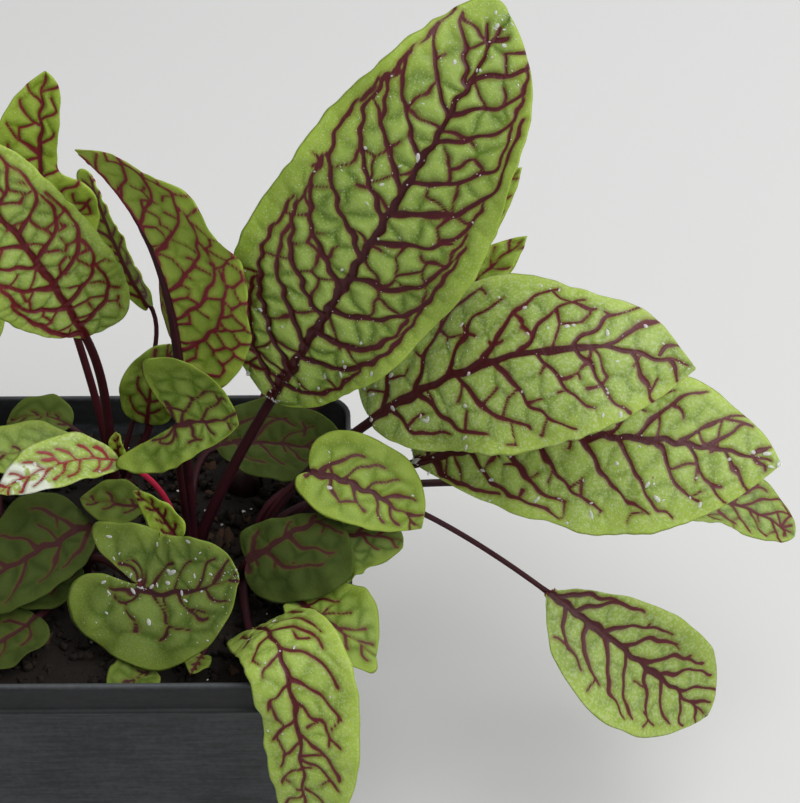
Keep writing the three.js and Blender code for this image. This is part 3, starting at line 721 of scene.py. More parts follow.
def half_net(spec, side, midrib, look, rng):
    """Stretches of vein of half a blade, as ends in mm and widths, and all borders of its cells."""
    cell = look["cell"]
    nodes, pairs = crossings(spec, side, midrib, cell, rng)
    roads = side_roads(spec, side, midrib, look, rng)
    u, across = np.meshgrid(np.linspace(0, 1, 61), np.linspace(0, 1, 15), indexing="ij")
    share, away, _ = flat_place(spec, side, u, across)
    known = np.stack([share * midrib.length, away], -1).reshape(-1, 2)
    gaps = np.linalg.norm(nodes[:, None] - known[None], axis=-1)
    out = across.reshape(-1)[gaps.argmin(1)]
    inside = (gaps.min(1) < 0.6 * cell) & (nodes[:, 1] > -0.01)

    fine = np.concatenate([(1 - t) * r[:-1] + t * r[1:] for r in roads for t in (0, 0.33, 0.67)])
    to_road = np.linalg.norm(nodes[:, None] - fine[None], axis=-1)
    nearest, distance = fine[to_road.argmin(1)], to_road.min(1)
    by_road = (distance < 0.42 * cell) & inside
    on_rib = (nodes[:, 1] < 0.02) & inside & (nodes[:, 0] > -0.5) & (nodes[:, 0] < midrib.length)
    place = nodes + (nearest - nodes) * (by_road & ~on_rib)[:, None]

    pairs = [(a, b) for a, b in pairs if inside[a] and inside[b]]
    links = {k: [] for k in range(len(nodes))}
    for a, b in pairs:
        step = np.linalg.norm(nodes[a] - nodes[b]) * rng.uniform(0.7, 1.3)
        links[a].append((b, step))
        links[b].append((a, step))
    starts = np.nonzero(by_road | on_rib)[0].tolist()
    cost = dict.fromkeys(starts, 0.0)
    parent = dict.fromkeys(starts)
    depth = dict.fromkeys(starts, 0)
    queue = [(0.0, k) for k in starts]
    order = {}
    while queue:
        c, k = heapq.heappop(queue)
        if k in order:
            continue
        order[k] = c
        for other, step in links[k]:
            if c + step < cost.get(other, math.inf):
                cost[other] = c + step
                parent[other] = k
                depth[other] = depth[k] + 1
                heapq.heappush(queue, (c + step, other))

    grown = min(1, spec["width"] / GROWN_WIDTH)
    main = ROAD_WIDTH * look["thick"] * (0.5 + 0.5 * grown)
    thin = LANE_WIDTH * look["thick"] * (0.6 + 0.4 * grown)
    ends, widths = [], []
    for road in roads:
        stops = np.linspace(0, 1, len(road))
        size = main * (1 - 0.55 * stops ** 0.8) * (1 - 0.3 * road[0, 0] / midrib.length)
        if look["loops"] <= ARCHED:
            size = size * np.clip((1.02 - stops) / 0.12, 0.35, 1)
        ends.append(stretches(road))
        widths.append(stretches(size))

    def lane(start, end, start_width, end_width):
        ends.append(np.array([(start, end)]))
        widths.append(np.array([(start_width, end_width)]))

    coloured = set(starts)
    for k in order:
        up = parent[k]
        if up in coloured and k not in coloured and out[k] < look["extent"] + 0.06:
            if rng.uniform() < look["branch"]:
                coloured.add(k)
                size = thin * (1.1 - 0.12 * depth[k])
                lane(place[k], place[up], size * 0.85, size)
            elif rng.uniform() < DEAD_ENDS:
                lane(0.45 * place[k] + 0.55 * place[up], place[up], 0.6 * thin, 0.9 * thin)
    tree = {tuple(sorted((k, up))) for k, up in parent.items() if up is not None}
    for a, b in pairs:
        if (a, b) in tree or not (a in coloured or b in coloured):
            continue
        if cost.get(a) == cost.get(b) == 0 and np.linalg.norm(place[a] - place[b]) < 0.8 * cell:
            continue
        if a in coloured and b in coloured and rng.uniform() < look["loops"]:
            lane(place[a], place[b], 0.8 * thin, 0.8 * thin)
        elif rng.uniform() < SPURS:
            near, far = (a, b) if a in coloured else (b, a)
            if out[far] < look["extent"] + 0.1:
                end = place[near] + rng.uniform(0.35, 0.6) * (place[far] - place[near])
                lane(end, place[near], 0.6 * thin, 0.85 * thin)
    borders = np.array([(place[a], place[b]) for a, b in pairs])
    return np.concatenate(ends), np.concatenate(widths), main, borders


# %% Distances to the net
FINEST = 0.58
LEAST_RIB, RIB_GROWTH = 1.1, 0.022
SHAKE = 0.075
AT_ONCE = 3000


def nearest_line(points, ends, widths):
    """For each point: mm to the edge of the nearest line, and the width of that line there."""
    a, ab = ends[:, 0], ends[:, 1] - ends[:, 0]
    square = np.maximum((ab ** 2).sum(1), 1e-9)
    best, width_there = np.empty(len(points)), np.empty(len(points))
    for part in np.array_split(np.arange(len(points)), max(1, len(points) // AT_ONCE)):
        ap = points[part, None] - a
        along = np.clip((ap * ab).sum(-1) / square, 0, 1)
        width = widths[:, 0] + (widths[:, 1] - widths[:, 0]) * along
        edge = np.linalg.norm(ap - along[..., None] * ab, axis=-1) - width / 2
        pick = edge.argmin(1)
        rows = np.arange(len(part))
        best[part] = edge[rows, pick]
        width_there[part] = width[rows, pick]
    return best, width_there


def vein_fields(spec, midrib, look, flat, left, seed):
    """For points of a flat blade: mm to the nearest red, its size, mm to the nearest crease."""
    rng = np.random.default_rng(seed)
    red, size, crease = np.zeros((3, *flat.shape[:-1]))
    shake = np.stack([wobble(flat, seed, 7), wobble(flat, seed + 1, 7)], -1)
    shaken = flat + SHAKE * look["cell"] * shake
    rib_width = (LEAST_RIB + RIB_GROWTH * spec["width"]) * look["thick"]
    stops = np.linspace(0, 0.97, 14)
    rib = np.stack([stops * midrib.length, 0 * stops], -1)
    fading = np.clip((look["extent"] + 0.3 - stops) / 0.3, 0, 1)
    taper = rib_width * (0.25 + 0.75 * (1 - stops) ** 0.8) * fading
    for side in (0, 1):
        ends, widths, main, borders = half_net(spec, side, midrib, look, rng)
        mine = left == (side == 0)
        points = shaken[mine] * (1, 2 * side - 1)
        all_ends = np.concatenate([stretches(rib), ends])
        all_widths = np.concatenate([stretches(taper), np.maximum(widths, FINEST)])
        red[mine], width = nearest_line(points, all_ends, all_widths)
        size[mine] = np.clip(width / main, 0, 1)
        creases = np.concatenate([all_ends, borders])
        crease[mine], _ = nearest_line(points, creases, np.zeros((len(creases), 2)))
    return np.clip(red, -2, 3), size, np.clip(crease, 0, 4)


print("side veins of the largest leaf:", 2 * round(largest.length / LOOKS["middle_1"]["pace"]))

# %% [markdown]
# ## Blades with puffed cells
# Each cell of a sorrel leaf is a small pillow, and every vein lies in the crease between pillows.
# On the underside it is the other way round: hollows, and veins that stand out as ridges. The
# relief is real geometry, so it catches the light from every side. Towards its edge the blade
# thins to nothing, which gives it a crisp rim without a wall of extra faces.

# %% Blade skin
THICKNESS = 0.45
# Mm between rows, on the blades that are seen close and on those at the far and left sides.
FINE, COARSE = 0.55, 1.05
PILLOW_EDGE = 0.22
GROOVE, GROOVE_REACH = 0.3, 0.5
RIDGE, RIDGE_REACH = 0.55, 0.45
NIBBLE, SWAY, BUCKLE = 0.22, 0.018, 0.022


def blade(name, spec, look, seed, spacing):
    """Makes the piece that stands for a leaf's node and returns what the drops need to sit on."""
    midrib = Midrib(spec)
    rows = even_rows(spec, midrib, spacing)
    columns = max(LEAST_COLUMNS, int(spec["width"] / 2 / spacing))
    u, v = np.meshgrid(rows, np.linspace(-1, 1, 2 * columns + 1), indexing="ij")
    across = np.abs(v)
    middle, flat = blade_points(spec, midrib, u, v)
    red, size, crease = vein_fields(spec, midrib, look, flat, v < 0, seed)

    width, belly = spec["width"], np.sin(np.pi * u) ** 0.5
    rim = across ** 5 * np.sign(v) * belly
    right = midrib.at(flat[..., 0] / midrib.length)[3]
    nibble = NIBBLE * wobble(flat, seed + 5, 7) + SWAY * width * wobble(flat, seed + 6, 24)
    middle = middle + right * (rim * nibble)[..., None]
    normal = np.cross(np.gradient(middle, axis=1), np.gradient(middle, axis=0))
    normal[0], normal[-1] = normal[1], normal[-2]
    normal = unit(normal)
    buckle = BUCKLE * width * wobble(flat, seed + 7, 0.55 * width) * across ** 2 * belly
    pillow = 1 - np.exp(-crease / (PILLOW_EDGE * look["cell"]))
    pillow = look["puff"] * pillow * (1 - 0.85 * across ** 4)
    hill = pillow - GROOVE * size * np.exp(-(np.maximum(red, 0) / GROOVE_REACH) ** 2)
    thick = THICKNESS / 2 * np.sqrt(1 - across ** 8)
    ridge = RIDGE * size * np.exp(-(np.maximum(red, 0) / RIDGE_REACH) ** 2)
    top = middle + normal * (buckle + hill + thick)[..., None]
    below = middle + normal * (buckle + 0.8 * hill - thick - ridge)[..., None]

    count = len(rows) - 2
    wide = 2 * columns + 1
    upper = 2 + np.arange(count * wide).reshape(count, wide)
    lower = upper.copy()
    lower[:, 1:-1] = 2 + count * wide + np.arange(count * (wide - 2)).reshape(count, wide - 2)
    tips = middle[[0, -1], 0]
    points = np.concatenate([tips, top[1:-1].reshape(-1, 3), below[1:-1, 1:-1].reshape(-1, 3)])

    def skin(index, turned):
        quads = np.stack([index[:-1, :-1], index[:-1, 1:], index[1:, 1:], index[1:, :-1]], -1)
        quads = quads.reshape(-1, 4)
        foot = np.stack([np.zeros(wide - 1, int), index[0, 1:], index[0, :-1]], -1)
        tip = np.stack([index[-1, :-1], index[-1, 1:], np.ones(wide - 1, int)], -1)
        return [group[:, ::-1] if turned else group for group in (quads, foot, tip)]

    def both_sides(values):
        ends = [values[0, columns], values[-1, columns]]
        return np.concatenate([ends, values[1:-1].ravel(), values[1:-1, 1:-1].ravel()])

    under = np.concatenate([[0, 0], np.zeros(count * wide), np.ones(count * (wide - 2))])
    attributes = {
        "veins": np.stack([both_sides(f) for f in (red, size, pillow / look["puff"])], -1),
        "blade": np.stack([both_sides(across), both_sides(u), under], -1),
        "tone": np.tile([look["pale"], look["red"], look["shade"]], (len(points), 1)),
        # The leaf's sheen value, which drives its painted sheen, its painted glare and a lower
        # roughness.
        "wet": np.full((len(points), 3), look["sheen"]),
    }
    new_piece(name + "_blade", points, skin(upper, False) + skin(lower, True), "leaf",
              LEAF_FINISH, attributes, replaces=[name])
    return top[1:-1], normal[1:-1], across[1:-1]


# %% [markdown]
# ## The finish of a leaf
# A sorrel blade is a satin green made of tiny pale dots, brightened as painted sparkle, and
# yellower towards the rim. Painted shade darkens the creases and a painted highlight lightens the
# pillow tops. The red is in the veins and bleeds a little into the green beside them. The
# underside is duller and a bit greyer. A touch of subsurface light lets the thin blade glow.
# Leaves given a sheen get a painted whitish haze of reflected light.

# %% Leaf finish
material, shader, place = new_material("sorrel_leaf")
red, size, height = place.attribute("veins").parts()
across, along, under = place.attribute("blade").parts()
pale, bright, shade = place.attribute("tone").parts()
wet = place.attribute("wet", output=2)
cloud = place.noise(9, 3)
grain = place.noise(0.9, 3, 0.6)
dots = place.cells(0.75).fade(0.12, 0.42)

# Painted shade and painted highlight: the green is darker in the creases between the pillows and
# lighter on their tops, with a random cloudy tone mixed in. Leaves with a sheen get less of it and
# a lighter green overall.
hill = height * (0.9 - wet) + wet * 0.62 + cloud * 0.4 - 0.1
green = hill.step(0.1, 1.05).mix(paint(78, 106, 6), paint(149, 173, 79))
young = cloud.mix(paint(142, 168, 24), paint(166, 188, 58))
green = pale.mix(green, young)
edge = (across + (cloud - 0.5) * 0.3).step(0.62, 1.0) * 0.65
green = edge.mix(green, paint(162, 184, 68))
# Painted sparkle: the surface's pale dots are brightened to whiten the green, and shaded leaves
# don't get them.
green = (dots * 0.28 * (grain + 0.4) * (1 - shade)).mix(green, paint(186, 208, 136))
# Painted shade: leaves low in the plant are darkened towards a near-black green by their shade
# value.
green = (shade * 0.9).mix(green, paint(34, 46, 2))
green = (under * 0.6).mix(green, paint(138, 158, 52))
# Painted sheen: a whitish speckled haze of reflected light on the leaves given a sheen.
mist = (place.noise(0.8, 2).step(0.45, 0.65) * 0.6 + 0.1) * wet
green = mist.mix(green, paint(210, 216, 186))
# Painted reflection: a white patch of glare on the water film near the tip of the leaf with the
# most sheen.
puddle = wet.step(0.42, 0.46) * along.step(0.72, 0.77) * along.fade(0.92, 0.95)
puddle = puddle * place.noise(4, 3).step(0.48, 0.53)
green = puddle.mix(green, paint(208, 214, 198))

# The red halo is weaker on shaded leaves, as part of the same painted shade.
halo = red.fade(-0.1, 1.1) * 0.55 * (1 - shade * 0.6)
green = halo.mix(green, paint(104, 84, 30))
thin = bright.mix(paint(88, 24, 31), paint(168, 40, 52))
thick = bright.mix(paint(50, 8, 15), paint(130, 32, 38))
vein = (size * 0.9 + grain * 0.2).mix(thin, thick)
vein = (under * 0.75).mix(vein, paint(110, 26, 40))
# Painted shade: the veins of shaded leaves are darkened as well.
vein = (shade * 0.8).mix(vein, paint(58, 24, 22))
ragged = (grain - 0.5) * 0.22 + (place.noise(2.4) - 0.5) * 0.3
mask = (red + ragged).fade(-0.1, 0.22)
colour = mask.mix(green, vein)
freckle = place.cells(5.5).fade(0.02, 0.09) * place.noise(30).step(0.52, 0.6)
colour = (freckle * 0.7).mix(colour, paint(104, 60, 48))

roughness = 0.4 + grain * 0.2 - mask * 0.06 + under * 0.2 + shade * 0.4 - wet * 0.1
bumps = dots * 0.6 + grain * 0.7
finish_shader(shader, colour, roughness, 0.32, bumps, bump=0.32, depth=0.25)
shader.inputs["Subsurface Weight"].default_value = 0.12
shader.inputs["Subsurface Radius"].default_value = (0.5, 1.0, 0.2)
shader.inputs["Subsurface Scale"].default_value = 0.0012
LEAF_FINISH = material
print("leaf finish:", len(LEAF_FINISH.node_tree.nodes), "nodes")

# %% All blades
wet_skins = []
seed = 5
for crown, specs in LEAVES.items():
    for number, spec in enumerate(specs, 1):
        look = look_of(f"{crown}_{number}")
        spacing = COARSE if crown in ("side", "far") else FINE
        skin = blade(f"{crown}_leaf_{number}", spec, look, seed, spacing)
        seed += 11
        if look["dew"] > 0:
            wet_skins.append((look["dew"], *skin))
blades = [piece for piece in bpy.data.objects if piece.name.endswith("_blade")]
print("blades:", len(blades), "with", sum(len(piece.data.polygons) for piece in blades), "faces")

# %% [markdown]
# ## Stalks and midribs
# A stalk is a juicy rod with a shallow channel along its upper side. It leaves the root crown a
# little thicker and browner, bends out to its leaf and runs on under the blade as the midrib,
# getting thinner until it is lost. One tube does it all, and every crown's tubes are one piece.

# %% Stalk paths
SOIL_TOP = 85
CROWN_RADIUS = 5.2
FOOT_DEPTH = 1
FOOT_SPREAD = 0.45
RIB_END = 0.3
RING_STEP = 2.2
SIDES = 14


def around(count):
    """As many angles, evenly round a circle."""
    return np.linspace(0, 2 * np.pi, count, endpoint=False)


def stalk_path(spec, crown):
    """Middle line of a stalk and its midrib in mm, the radius along it and how far up it is."""
    midrib = Midrib(spec)
    stops = np.linspace(0, spec["rib"], 16)
    rib_radius = spec["stalk"] + (RIB_END - spec["stalk"]) * stops / spec["rib"]
    point, tangent, normal, _ = midrib.at(stops)
    rib = point - normal * (0.85 * rib_radius + 0.1)[:, None]
    joint = rib[0]
    middle = np.array([*CROWNS[crown], SOIL_TOP - FOOT_DEPTH], float)
    outwards = unit((joint - middle) * (1, 1, 0))
    root = middle + outwards * CROWN_RADIUS * FOOT_SPREAD
    span = np.linalg.norm(joint - root)
    up = root + (0, 0, spec["rise"] * span)
    into = joint - tangent[0] * spec["run"] * span
    curve = bezier(np.linspace(0, 1, 200)[:, None], root, up, into, joint)
    run = run_along(curve)
    steps = max(12, int(run[-1] / RING_STEP))
    even = np.linspace(0, run[-1], steps + 1)[:-1]
    stem = np.stack([np.interp(even, run, curve[:, k]) for k in range(3)], -1)
    share = even / run[-1]
    stem_radius = spec["stalk"] * (1.02 - 0.14 * share + 0.3 * np.exp(-even / 5))
    place = np.concatenate([share, 1 + stops])
    return np.concatenate([stem, rib]), np.concatenate([stem_radius, rib_radius]), place, normal[0]


def rod(path, radii, top):
    """Points of a tube with a channel that starts on the side that faces top."""
    tangent = unit(np.gradient(path, axis=0))
    rings = []
    across = np.cross(tangent[-1], top)
    turn = around(SIDES)[:, None]
    channel = 1 - 0.14 * np.exp(-(((turn + np.pi) % (2 * np.pi) - np.pi) / 0.55) ** 2)
    for point, heading, radius in list(zip(path, tangent, radii))[::-1]:
        across = unit(across - across @ heading * heading)
        up = np.cross(across, heading)
        rings.append(point + radius * channel * (np.cos(turn) * up + np.sin(turn) * across))
    return np.concatenate(rings[::-1])


def join(parts):
    """Puts points and faces of several shapes into one."""
    points, faces, start = [], [], 0
    for shape, groups in parts:
        points.append(shape)
        faces += [group + start for group in groups]
        start += len(shape)
    return np.concatenate(points), faces


# %% Stalk finish
material, shader, place = new_material("sorrel_stalk")
along = place.attribute("stalk")
share, turn, bright = along.parts()
streak = place.node("TexNoise", {"Vector": along, "Scale": 9.0, "Detail": 4.0})
cloud = place.noise(6, 3)
patches = (cloud * 0.7 + streak * 0.5 - 0.1).step(0.2, 0.8)
flesh = patches.mix(paint(28, 9, 14), paint(54, 16, 25))
flesh = (share.fade(0.0, 0.1) * 0.6).mix(flesh, paint(38, 24, 17))
# Painted highlight: the side of the stalk that faces the leaf's upper side is lighter.
flesh = (turn.step(0.72, 0.98) * 0.2).mix(flesh, paint(84, 36, 42))
flesh = bright.mix(flesh, paint(196, 44, 74))
bumps = streak + place.noise(0.8) * 0.4
finish_shader(shader, flesh, 0.46 + cloud * 0.2, 0.18, bumps, bump=0.3, depth=0.3)
STALK_FINISH = material

# %% One clump a crown
KNOB_HEIGHTS = np.array([-8, -5, -2, 0, 1.0, 1.9, 2.6, 3.0])
KNOB_WIDTHS = np.array([3.2, 3.9, 4.2, 4.1, 3.7, 2.9, 1.9, 0.8])
KNOB_SIDES = 28


def knob(x, y):
    """The lumpy top of the root that the stalks of a crown stand on."""
    turn = around(KNOB_SIDES)
    reach = KNOB_WIDTHS[:, None] * (1 + 0.12 * np.sin(5 * turn + x) + 0.06 * np.sin(11 * turn))
    across, along = (reach * np.cos(turn)).ravel(), (reach * np.sin(turn)).ravel()
    return np.stack([x + across, y + along, SOIL_TOP + np.repeat(KNOB_HEIGHTS, KNOB_SIDES)], -1)


for crown, specs in LEAVES.items():
    shapes, places = [], []
    for number, spec in enumerate(specs, 1):
        path, radii, share, top = stalk_path(spec, crown)
        shapes.append((rod(path, radii, top), ring_faces(len(path), SIDES)))
        # How much each point faces the upper side, for the painted highlight along the stalk.
        turn = np.tile(0.5 + 0.5 * np.cos(around(SIDES)), len(path))
        bright = np.full(len(turn), look_of(f"{crown}_{number}")["red"] ** 4)
        places.append(np.stack([np.repeat(share, SIDES), turn, bright], -1))
    top = knob(*CROWNS[crown])
    shapes.append((top, ring_faces(len(KNOB_HEIGHTS), KNOB_SIDES)))
    places.append(np.tile([0.02, 0.5, 0.0], (len(top), 1)))
    points, faces = join(shapes)
    new_piece(crown + "_clump", points, faces, "stalk", STALK_FINISH,
              {"stalk": np.concatenate(places)}, replaces=[crown + "_stalks"])
print("stalks:", len(blades), "of", SIDES, "sides")

# %% [markdown]
# ## Peat, bark and perlite
# Potting mix is dark crumbs with chips of bark and white grains of perlite. The solid of the soil
# stays and gets a rough finish. Some thousands of small lumps lie on it: each is a ball with a few
# faces, squashed and turned by a seeded random number, and they are one piece.

# %% Lumps on the soil
WALL = 1.3
RIM_WIDTH, BASE_WIDTH, POT_HEIGHT = 114, 84, 95
CORNER_TOP, CORNER_BASE = 9, 7
BAND_HEIGHT, LEDGE, LEDGE_HEIGHT = 9, 0.8, 1.3


def pot_width(z):
    """Outer width of the tapered wall at a height."""
    return BASE_WIDTH + (RIM_WIDTH - 3 * LEDGE - BASE_WIDTH) * (z / POT_HEIGHT)


def soil_height(x, y):
    bump = (0.5 * np.sin(0.31 * x + 1.7) * np.sin(0.27 * y + 0.4)
            + 0.3 * np.sin(0.73 * x - 0.41 * y) + 0.2 * np.sin(0.52 * x + 0.97 * y + 2))
    near = [np.hypot(x - i, y - j) / 11 for i, j in CROWNS.values()]
    return SOIL_TOP + 0.9 * bump - 2.6 * np.max([np.exp(-d ** 2) for d in near], axis=0)


def ball_shape(rounds):
    """Points and faces of a ball of triangles: 12 points after one round, 42 after two."""
    mesh = bmesh.new()
    bmesh.ops.create_icosphere(mesh, subdivisions=rounds, radius=1)
    points = np.array([v.co[:] for v in mesh.verts])
    faces = np.array([[v.index for v in f.verts] for f in mesh.faces])
    mesh.free()
    return points, faces


BALL = ball_shape(2)
PEBBLE = ball_shape(1)


def random_turn(rng):
    """A random rotation matrix."""
    w, x, y, z = unit(rng.normal(size=4))
    return np.array([
        [1 - 2 * (y * y + z * z), 2 * (x * y - w * z), 2 * (x * z + w * y)],
        [2 * (x * y + w * z), 1 - 2 * (x * x + z * z), 2 * (y * z - w * x)],
        [2 * (x * z - w * y), 2 * (y * z + w * x), 1 - 2 * (x * x + y * y)],
    ])


PEAT, BARK, PERLITE = 0.0, 0.5, 1.0
THROWS = 2600
ROUND_CORNER = 8
CLEAR_OF_CROWN = 5.5
BARK_FROM, PERLITE_FROM = 0.965, 0.94
rng = np.random.default_rng(7)
shapes, kinds = [], []
half = pot_width(SOIL_TOP) / 2 - WALL - 1.2
corner = half - ROUND_CORNER
for _ in range(THROWS):
    x, y = rng.uniform(-half, half, 2)
    if math.hypot(max(abs(x) - corner, 0), max(abs(y) - corner, 0)) > ROUND_CORNER:
        continue
    if any(math.hypot(x - i, y - j) < CLEAR_OF_CROWN for i, j in CROWNS.values()):
        continue
    luck = rng.uniform()
    size = 0.5 + 1.1 * rng.uniform() ** 3
    stretch = rng.uniform(0.6, 1.2, 3)
    kind = PEAT
    if luck > BARK_FROM:
        kind, stretch = BARK, np.array([rng.uniform(1.4, 2.4), 1.0, 0.45])
        size = rng.uniform(0.8, 1.8)
    elif luck > PERLITE_FROM:
        kind, size = PERLITE, rng.uniform(0.3, 0.65)
    shape, sides = BALL if size > 1 else PEBBLE
    dents = 1 + 0.22 * rng.normal(size=(len(shape), 1)).clip(-1.5, 1.5)
    points = shape * dents * stretch * size @ random_turn(rng).T
    if kind == BARK:
        points[:, 2] *= 0.6
    shapes.append((points + (x, y, float(soil_height(x, y)) + 0.25 * size), [sides]))
    kinds.append(np.tile([kind, rng.uniform(), 0], (len(points), 1)))
points, faces = join(shapes)

material, shader, place = new_material("potting_mix")
kind, luck, _ = place.attribute("grain").parts()
cloud = place.noise(2.5, 4, 0.65)
peat = (cloud * 0.7 + luck * 0.4).mix(paint(10, 8, 6), paint(36, 27, 20))
bark = (cloud * 0.6 + luck * 0.5).mix(paint(32, 21, 14), paint(70, 49, 34))
colour = kind.step(0.2, 0.4).mix(peat, bark)
colour = kind.step(0.7, 0.9).mix(colour, luck.mix(paint(176, 170, 160), paint(226, 223, 216)))
bumps = place.noise(0.7, 4, 0.7)
finish_shader(shader, colour, cloud * 0.2 + 0.75, 0.25, bumps, bump=0.6, depth=0.5)
new_piece("soil_crumbs", points, faces, "soil", material, {"grain": np.concatenate(kinds)})
soil = frame["nodes"]["soil"]
soil.data.materials.clear()
soil.data.materials.append(material)
print("lumps on the soil:", len(shapes))

# %% [markdown]
# ## The nursery pot
# A thin-walled square pot, pressed from black plastic: a tapered wall, an upright band round the
# mouth with a small ledge below it, and holes in the floor. The solid has the same rings with few
# steps. Here each corner gets more steps and each edge a small round, so the rim shows a fine line
# of light. The plastic is slightly mottled and dusty. The band gets painted shade, and a painted
# highlight runs along the top edge.

# %% Pot rings
CORNER_ANGLES = np.linspace(0, math.pi / 2, 9)
QUARTER_TURNS = ((1, 0), (0, 1), (-1, 0), (0, -1))
SIDE_STEPS = 10


def square_ring(width, radius, z):
    """Points round a square with round corners, a corner and a side at a time."""
    reach = width / 2 - radius
    spots = [(reach + radius * math.cos(a), reach + radius * math.sin(a)) for a in CORNER_ANGLES]
    spots += [(reach * (1 - 2 * k / SIDE_STEPS), width / 2) for k in range(1, SIDE_STEPS)]
    return np.array([(c * x - s * y, s * x + c * y, z) for c, s in QUARTER_TURNS for x, y in spots])


def wall_ring(z, grow=0.0):
    radius = CORNER_BASE + (CORNER_TOP - CORNER_BASE) * (z / POT_HEIGHT)
    return square_ring(pot_width(z) + 2 * grow, radius + grow, z)


def rim_ring(z, grow=0.0):
    return square_ring(RIM_WIDTH + 2 * grow, CORNER_TOP + grow, z)


BAND_FOOT = POT_HEIGHT - BAND_HEIGHT
FOOT_EDGE = ((0, -1.2), (0, -0.7), (0.2, -0.25), (0.7, 0))
UNDER_BAND = ((-3.15, 0.1), (-2.95, 0.35), (-0.4, 0.35))
BEAD = ((-0.05, 0.5), (0.1, 0.75), (0.35, 0.85), (0.9, 0.85), (1.15, 0.7), (1.3, 0.1))
LIP = ((-0.25, -0.08), (-0.05, -0.3), (0, -0.6), (-0.05, -1.0), (-0.3, -WALL))
rings = [wall_ring(z, grow) for z, grow in FOOT_EDGE]
rings += [wall_ring(z) for z in np.linspace(2, BAND_FOOT - 3.4, 24)]
rings += [wall_ring(BAND_FOOT + z, grow) for z, grow in UNDER_BAND]
rings += [rim_ring(BAND_FOOT + z, grow) for z, grow in BEAD]
rings += [rim_ring(z) for z in np.linspace(BAND_FOOT + 1.6, POT_HEIGHT - 0.6, 5)]
rings += [rim_ring(POT_HEIGHT + z, grow) for z, grow in LIP]
rings += [rim_ring(BAND_FOOT + LEDGE_HEIGHT, -WALL - 0.3)]
rings += [wall_ring(BAND_FOOT - LEDGE_HEIGHT, -WALL)]
rings += [wall_ring(z, -WALL) for z in np.linspace(BAND_FOOT - 6, 1.6, 8)]
wall = np.concatenate(rings)
shiver = 0.12 * wobble(wall[:, [0, 2]], 3, 26) + 0.12 * wobble(wall[:, [1, 2]], 4, 31)
calm = np.clip(1 - wall[:, 2] / 84, 0, 1)
wall[:, :2] *= 1 + (shiver / (RIM_WIDTH / 2) * calm)[:, None]

# %% Pot finish and drain holes
material, shader, place = new_material("nursery_plastic")
_, _, height = place.parts()
mottle = place.noise(1.6, 4, 0.6)
cloud = place.noise(28, 3)
flat = place.node("VectorMath", {0: place, 1: (0.1, 0.1, 1)}, operation="MULTIPLY")
drawn = flat.noise(1.1, 4, 0.6)
streaks = (mottle * 0.35 + drawn * 0.4 + cloud * 0.25).step(0.36, 0.64)
plastic = streaks.mix(paint(27, 29, 31), paint(56, 58, 61))
dust = place.noise(0.5, 3).step(0.6, 0.75) * cloud.step(0.4, 0.7) * 0.25
plastic = dust.mix(plastic, paint(120, 118, 112))
# Painted shade: the upright band round the mouth is darker than the wall below it.
band = height.step(86.2 * MM, 86.8 * MM) * height.fade(93.5 * MM, 94.4 * MM)
dark = (mottle * 0.7 + cloud * 0.3).mix(paint(10, 11, 12), paint(27, 28, 30))
plastic = (band * 0.8).mix(plastic, dark)
# Painted highlight: a light line along the top edge of the rim.
lip = height.step(94 * MM, 94.9 * MM) * 0.3
plastic = lip.mix(plastic, paint(104, 108, 112))
bumps = mottle + place.noise(0.45, 2) * 0.6
finish_shader(shader, plastic, mottle * 0.2 + 0.38 + dust * 0.5, 0.28, bumps, bump=0.25, depth=0.2)
faces = ring_faces(len(rings), len(rings[0]))
pot = new_piece("pot_shell", wall, faces, "pot", material, replaces=["pot"])

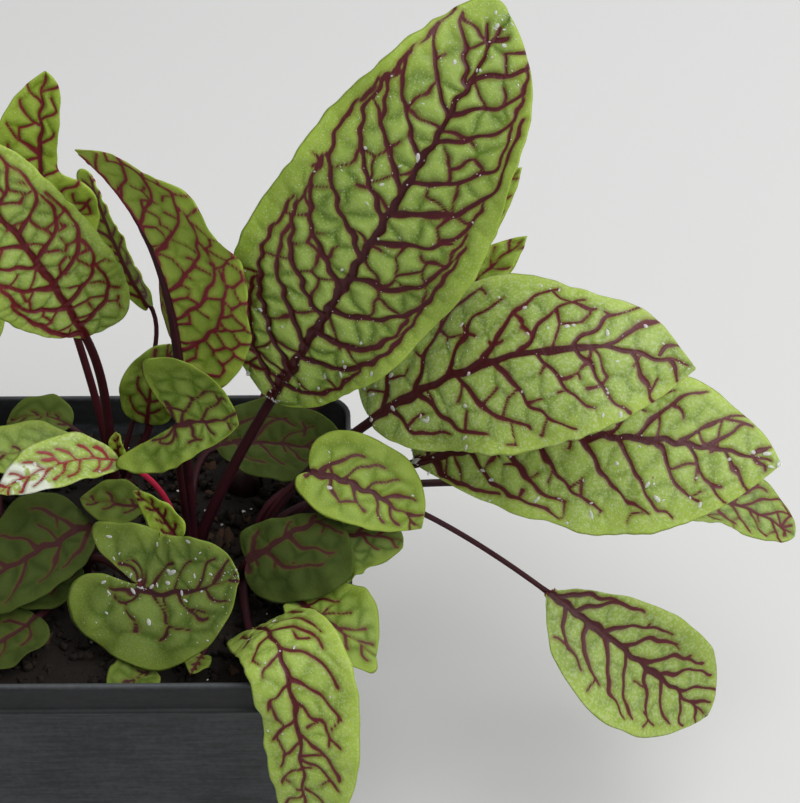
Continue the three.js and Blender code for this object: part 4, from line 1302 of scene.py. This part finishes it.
HOLE_AT = (BASE_WIDTH / 2 - 14) * MM
DRILL = dict(vertices=32, radius=4.5 * MM, depth=8 * MM)
for x, y in ((1, 1), (-1, 1), (-1, -1), (1, -1), *QUARTER_TURNS):
    bpy.ops.mesh.primitive_cylinder_add(**DRILL, location=(x * HOLE_AT, y * HOLE_AT, 0))
    drill = bpy.context.object
    cut = pot.modifiers.new("drain", "BOOLEAN")
    cut.operation = "DIFFERENCE"
    cut.solver = "EXACT"
    cut.object = drill
    bpy.context.view_layer.objects.active = pot
    bpy.ops.object.modifier_apply(modifier=cut.name)
    bpy.data.objects.remove(drill, do_unlink=True)
print("pot faces:", len(pot.data.polygons))

# %% [markdown]
# ## Drops of water
# The plant has just been misted. Drops sit on the upper leaves as flat beads of every size, most
# of them tiny. They are set on the blades' own points and turned to face as the blade does there.

# %% Drops
material, shader, place = new_material("water_drop")
# Painted glint: the white base colour gives the clear drops a diffuse white part in place of the
# light they reflect.
shader.inputs["Base Color"].default_value = (1, 1, 1, 1)
shader.inputs["Transmission Weight"].default_value = 0.6
shader.inputs["IOR"].default_value = 1.33
film = place.noise(1.5) * 0.06 + 0.02
place.tree.links.new(film.output, shader.inputs["Roughness"])

DRY_RIM = 0.94
DROPS_A_POINT = 0.01
LEAST_DROP, DROP_SPREAD = 0.13, 0.5
rng = np.random.default_rng(21)
shapes = []
for share, top, normal, across in wet_skins:
    spots = np.argwhere(across < DRY_RIM)
    for pick in rng.choice(len(spots), int(len(spots) * DROPS_A_POINT * share), replace=False):
        i, j = spots[pick]
        size = LEAST_DROP + DROP_SPREAD * rng.uniform() ** 6
        up = normal[i, j]
        side = unit(np.cross(up, rng.normal(size=3)))
        other = np.cross(up, side)
        stretch = np.array([rng.uniform(0.9, 2.6), 1.0, 0.45])
        shape, sides = BALL if size > 0.2 else PEBBLE
        bead = shape * stretch * size
        shapes.append((top[i, j] + bead @ np.array([side, other, up]), [sides]))
points, faces = join(shapes)
new_piece("dew", points, faces, "leaf", material)
print("drops:", len(shapes))

# %% [markdown]
# ## Sizes
# The finer skins must stay on the solids, so the box of the solids and the box of what now shows
# are both printed.

# %% Write the sizes
visual_box = [list(corner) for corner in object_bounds()]
print("box in mm now:", [[round(v / MM, 1) for v in corner] for corner in visual_box])
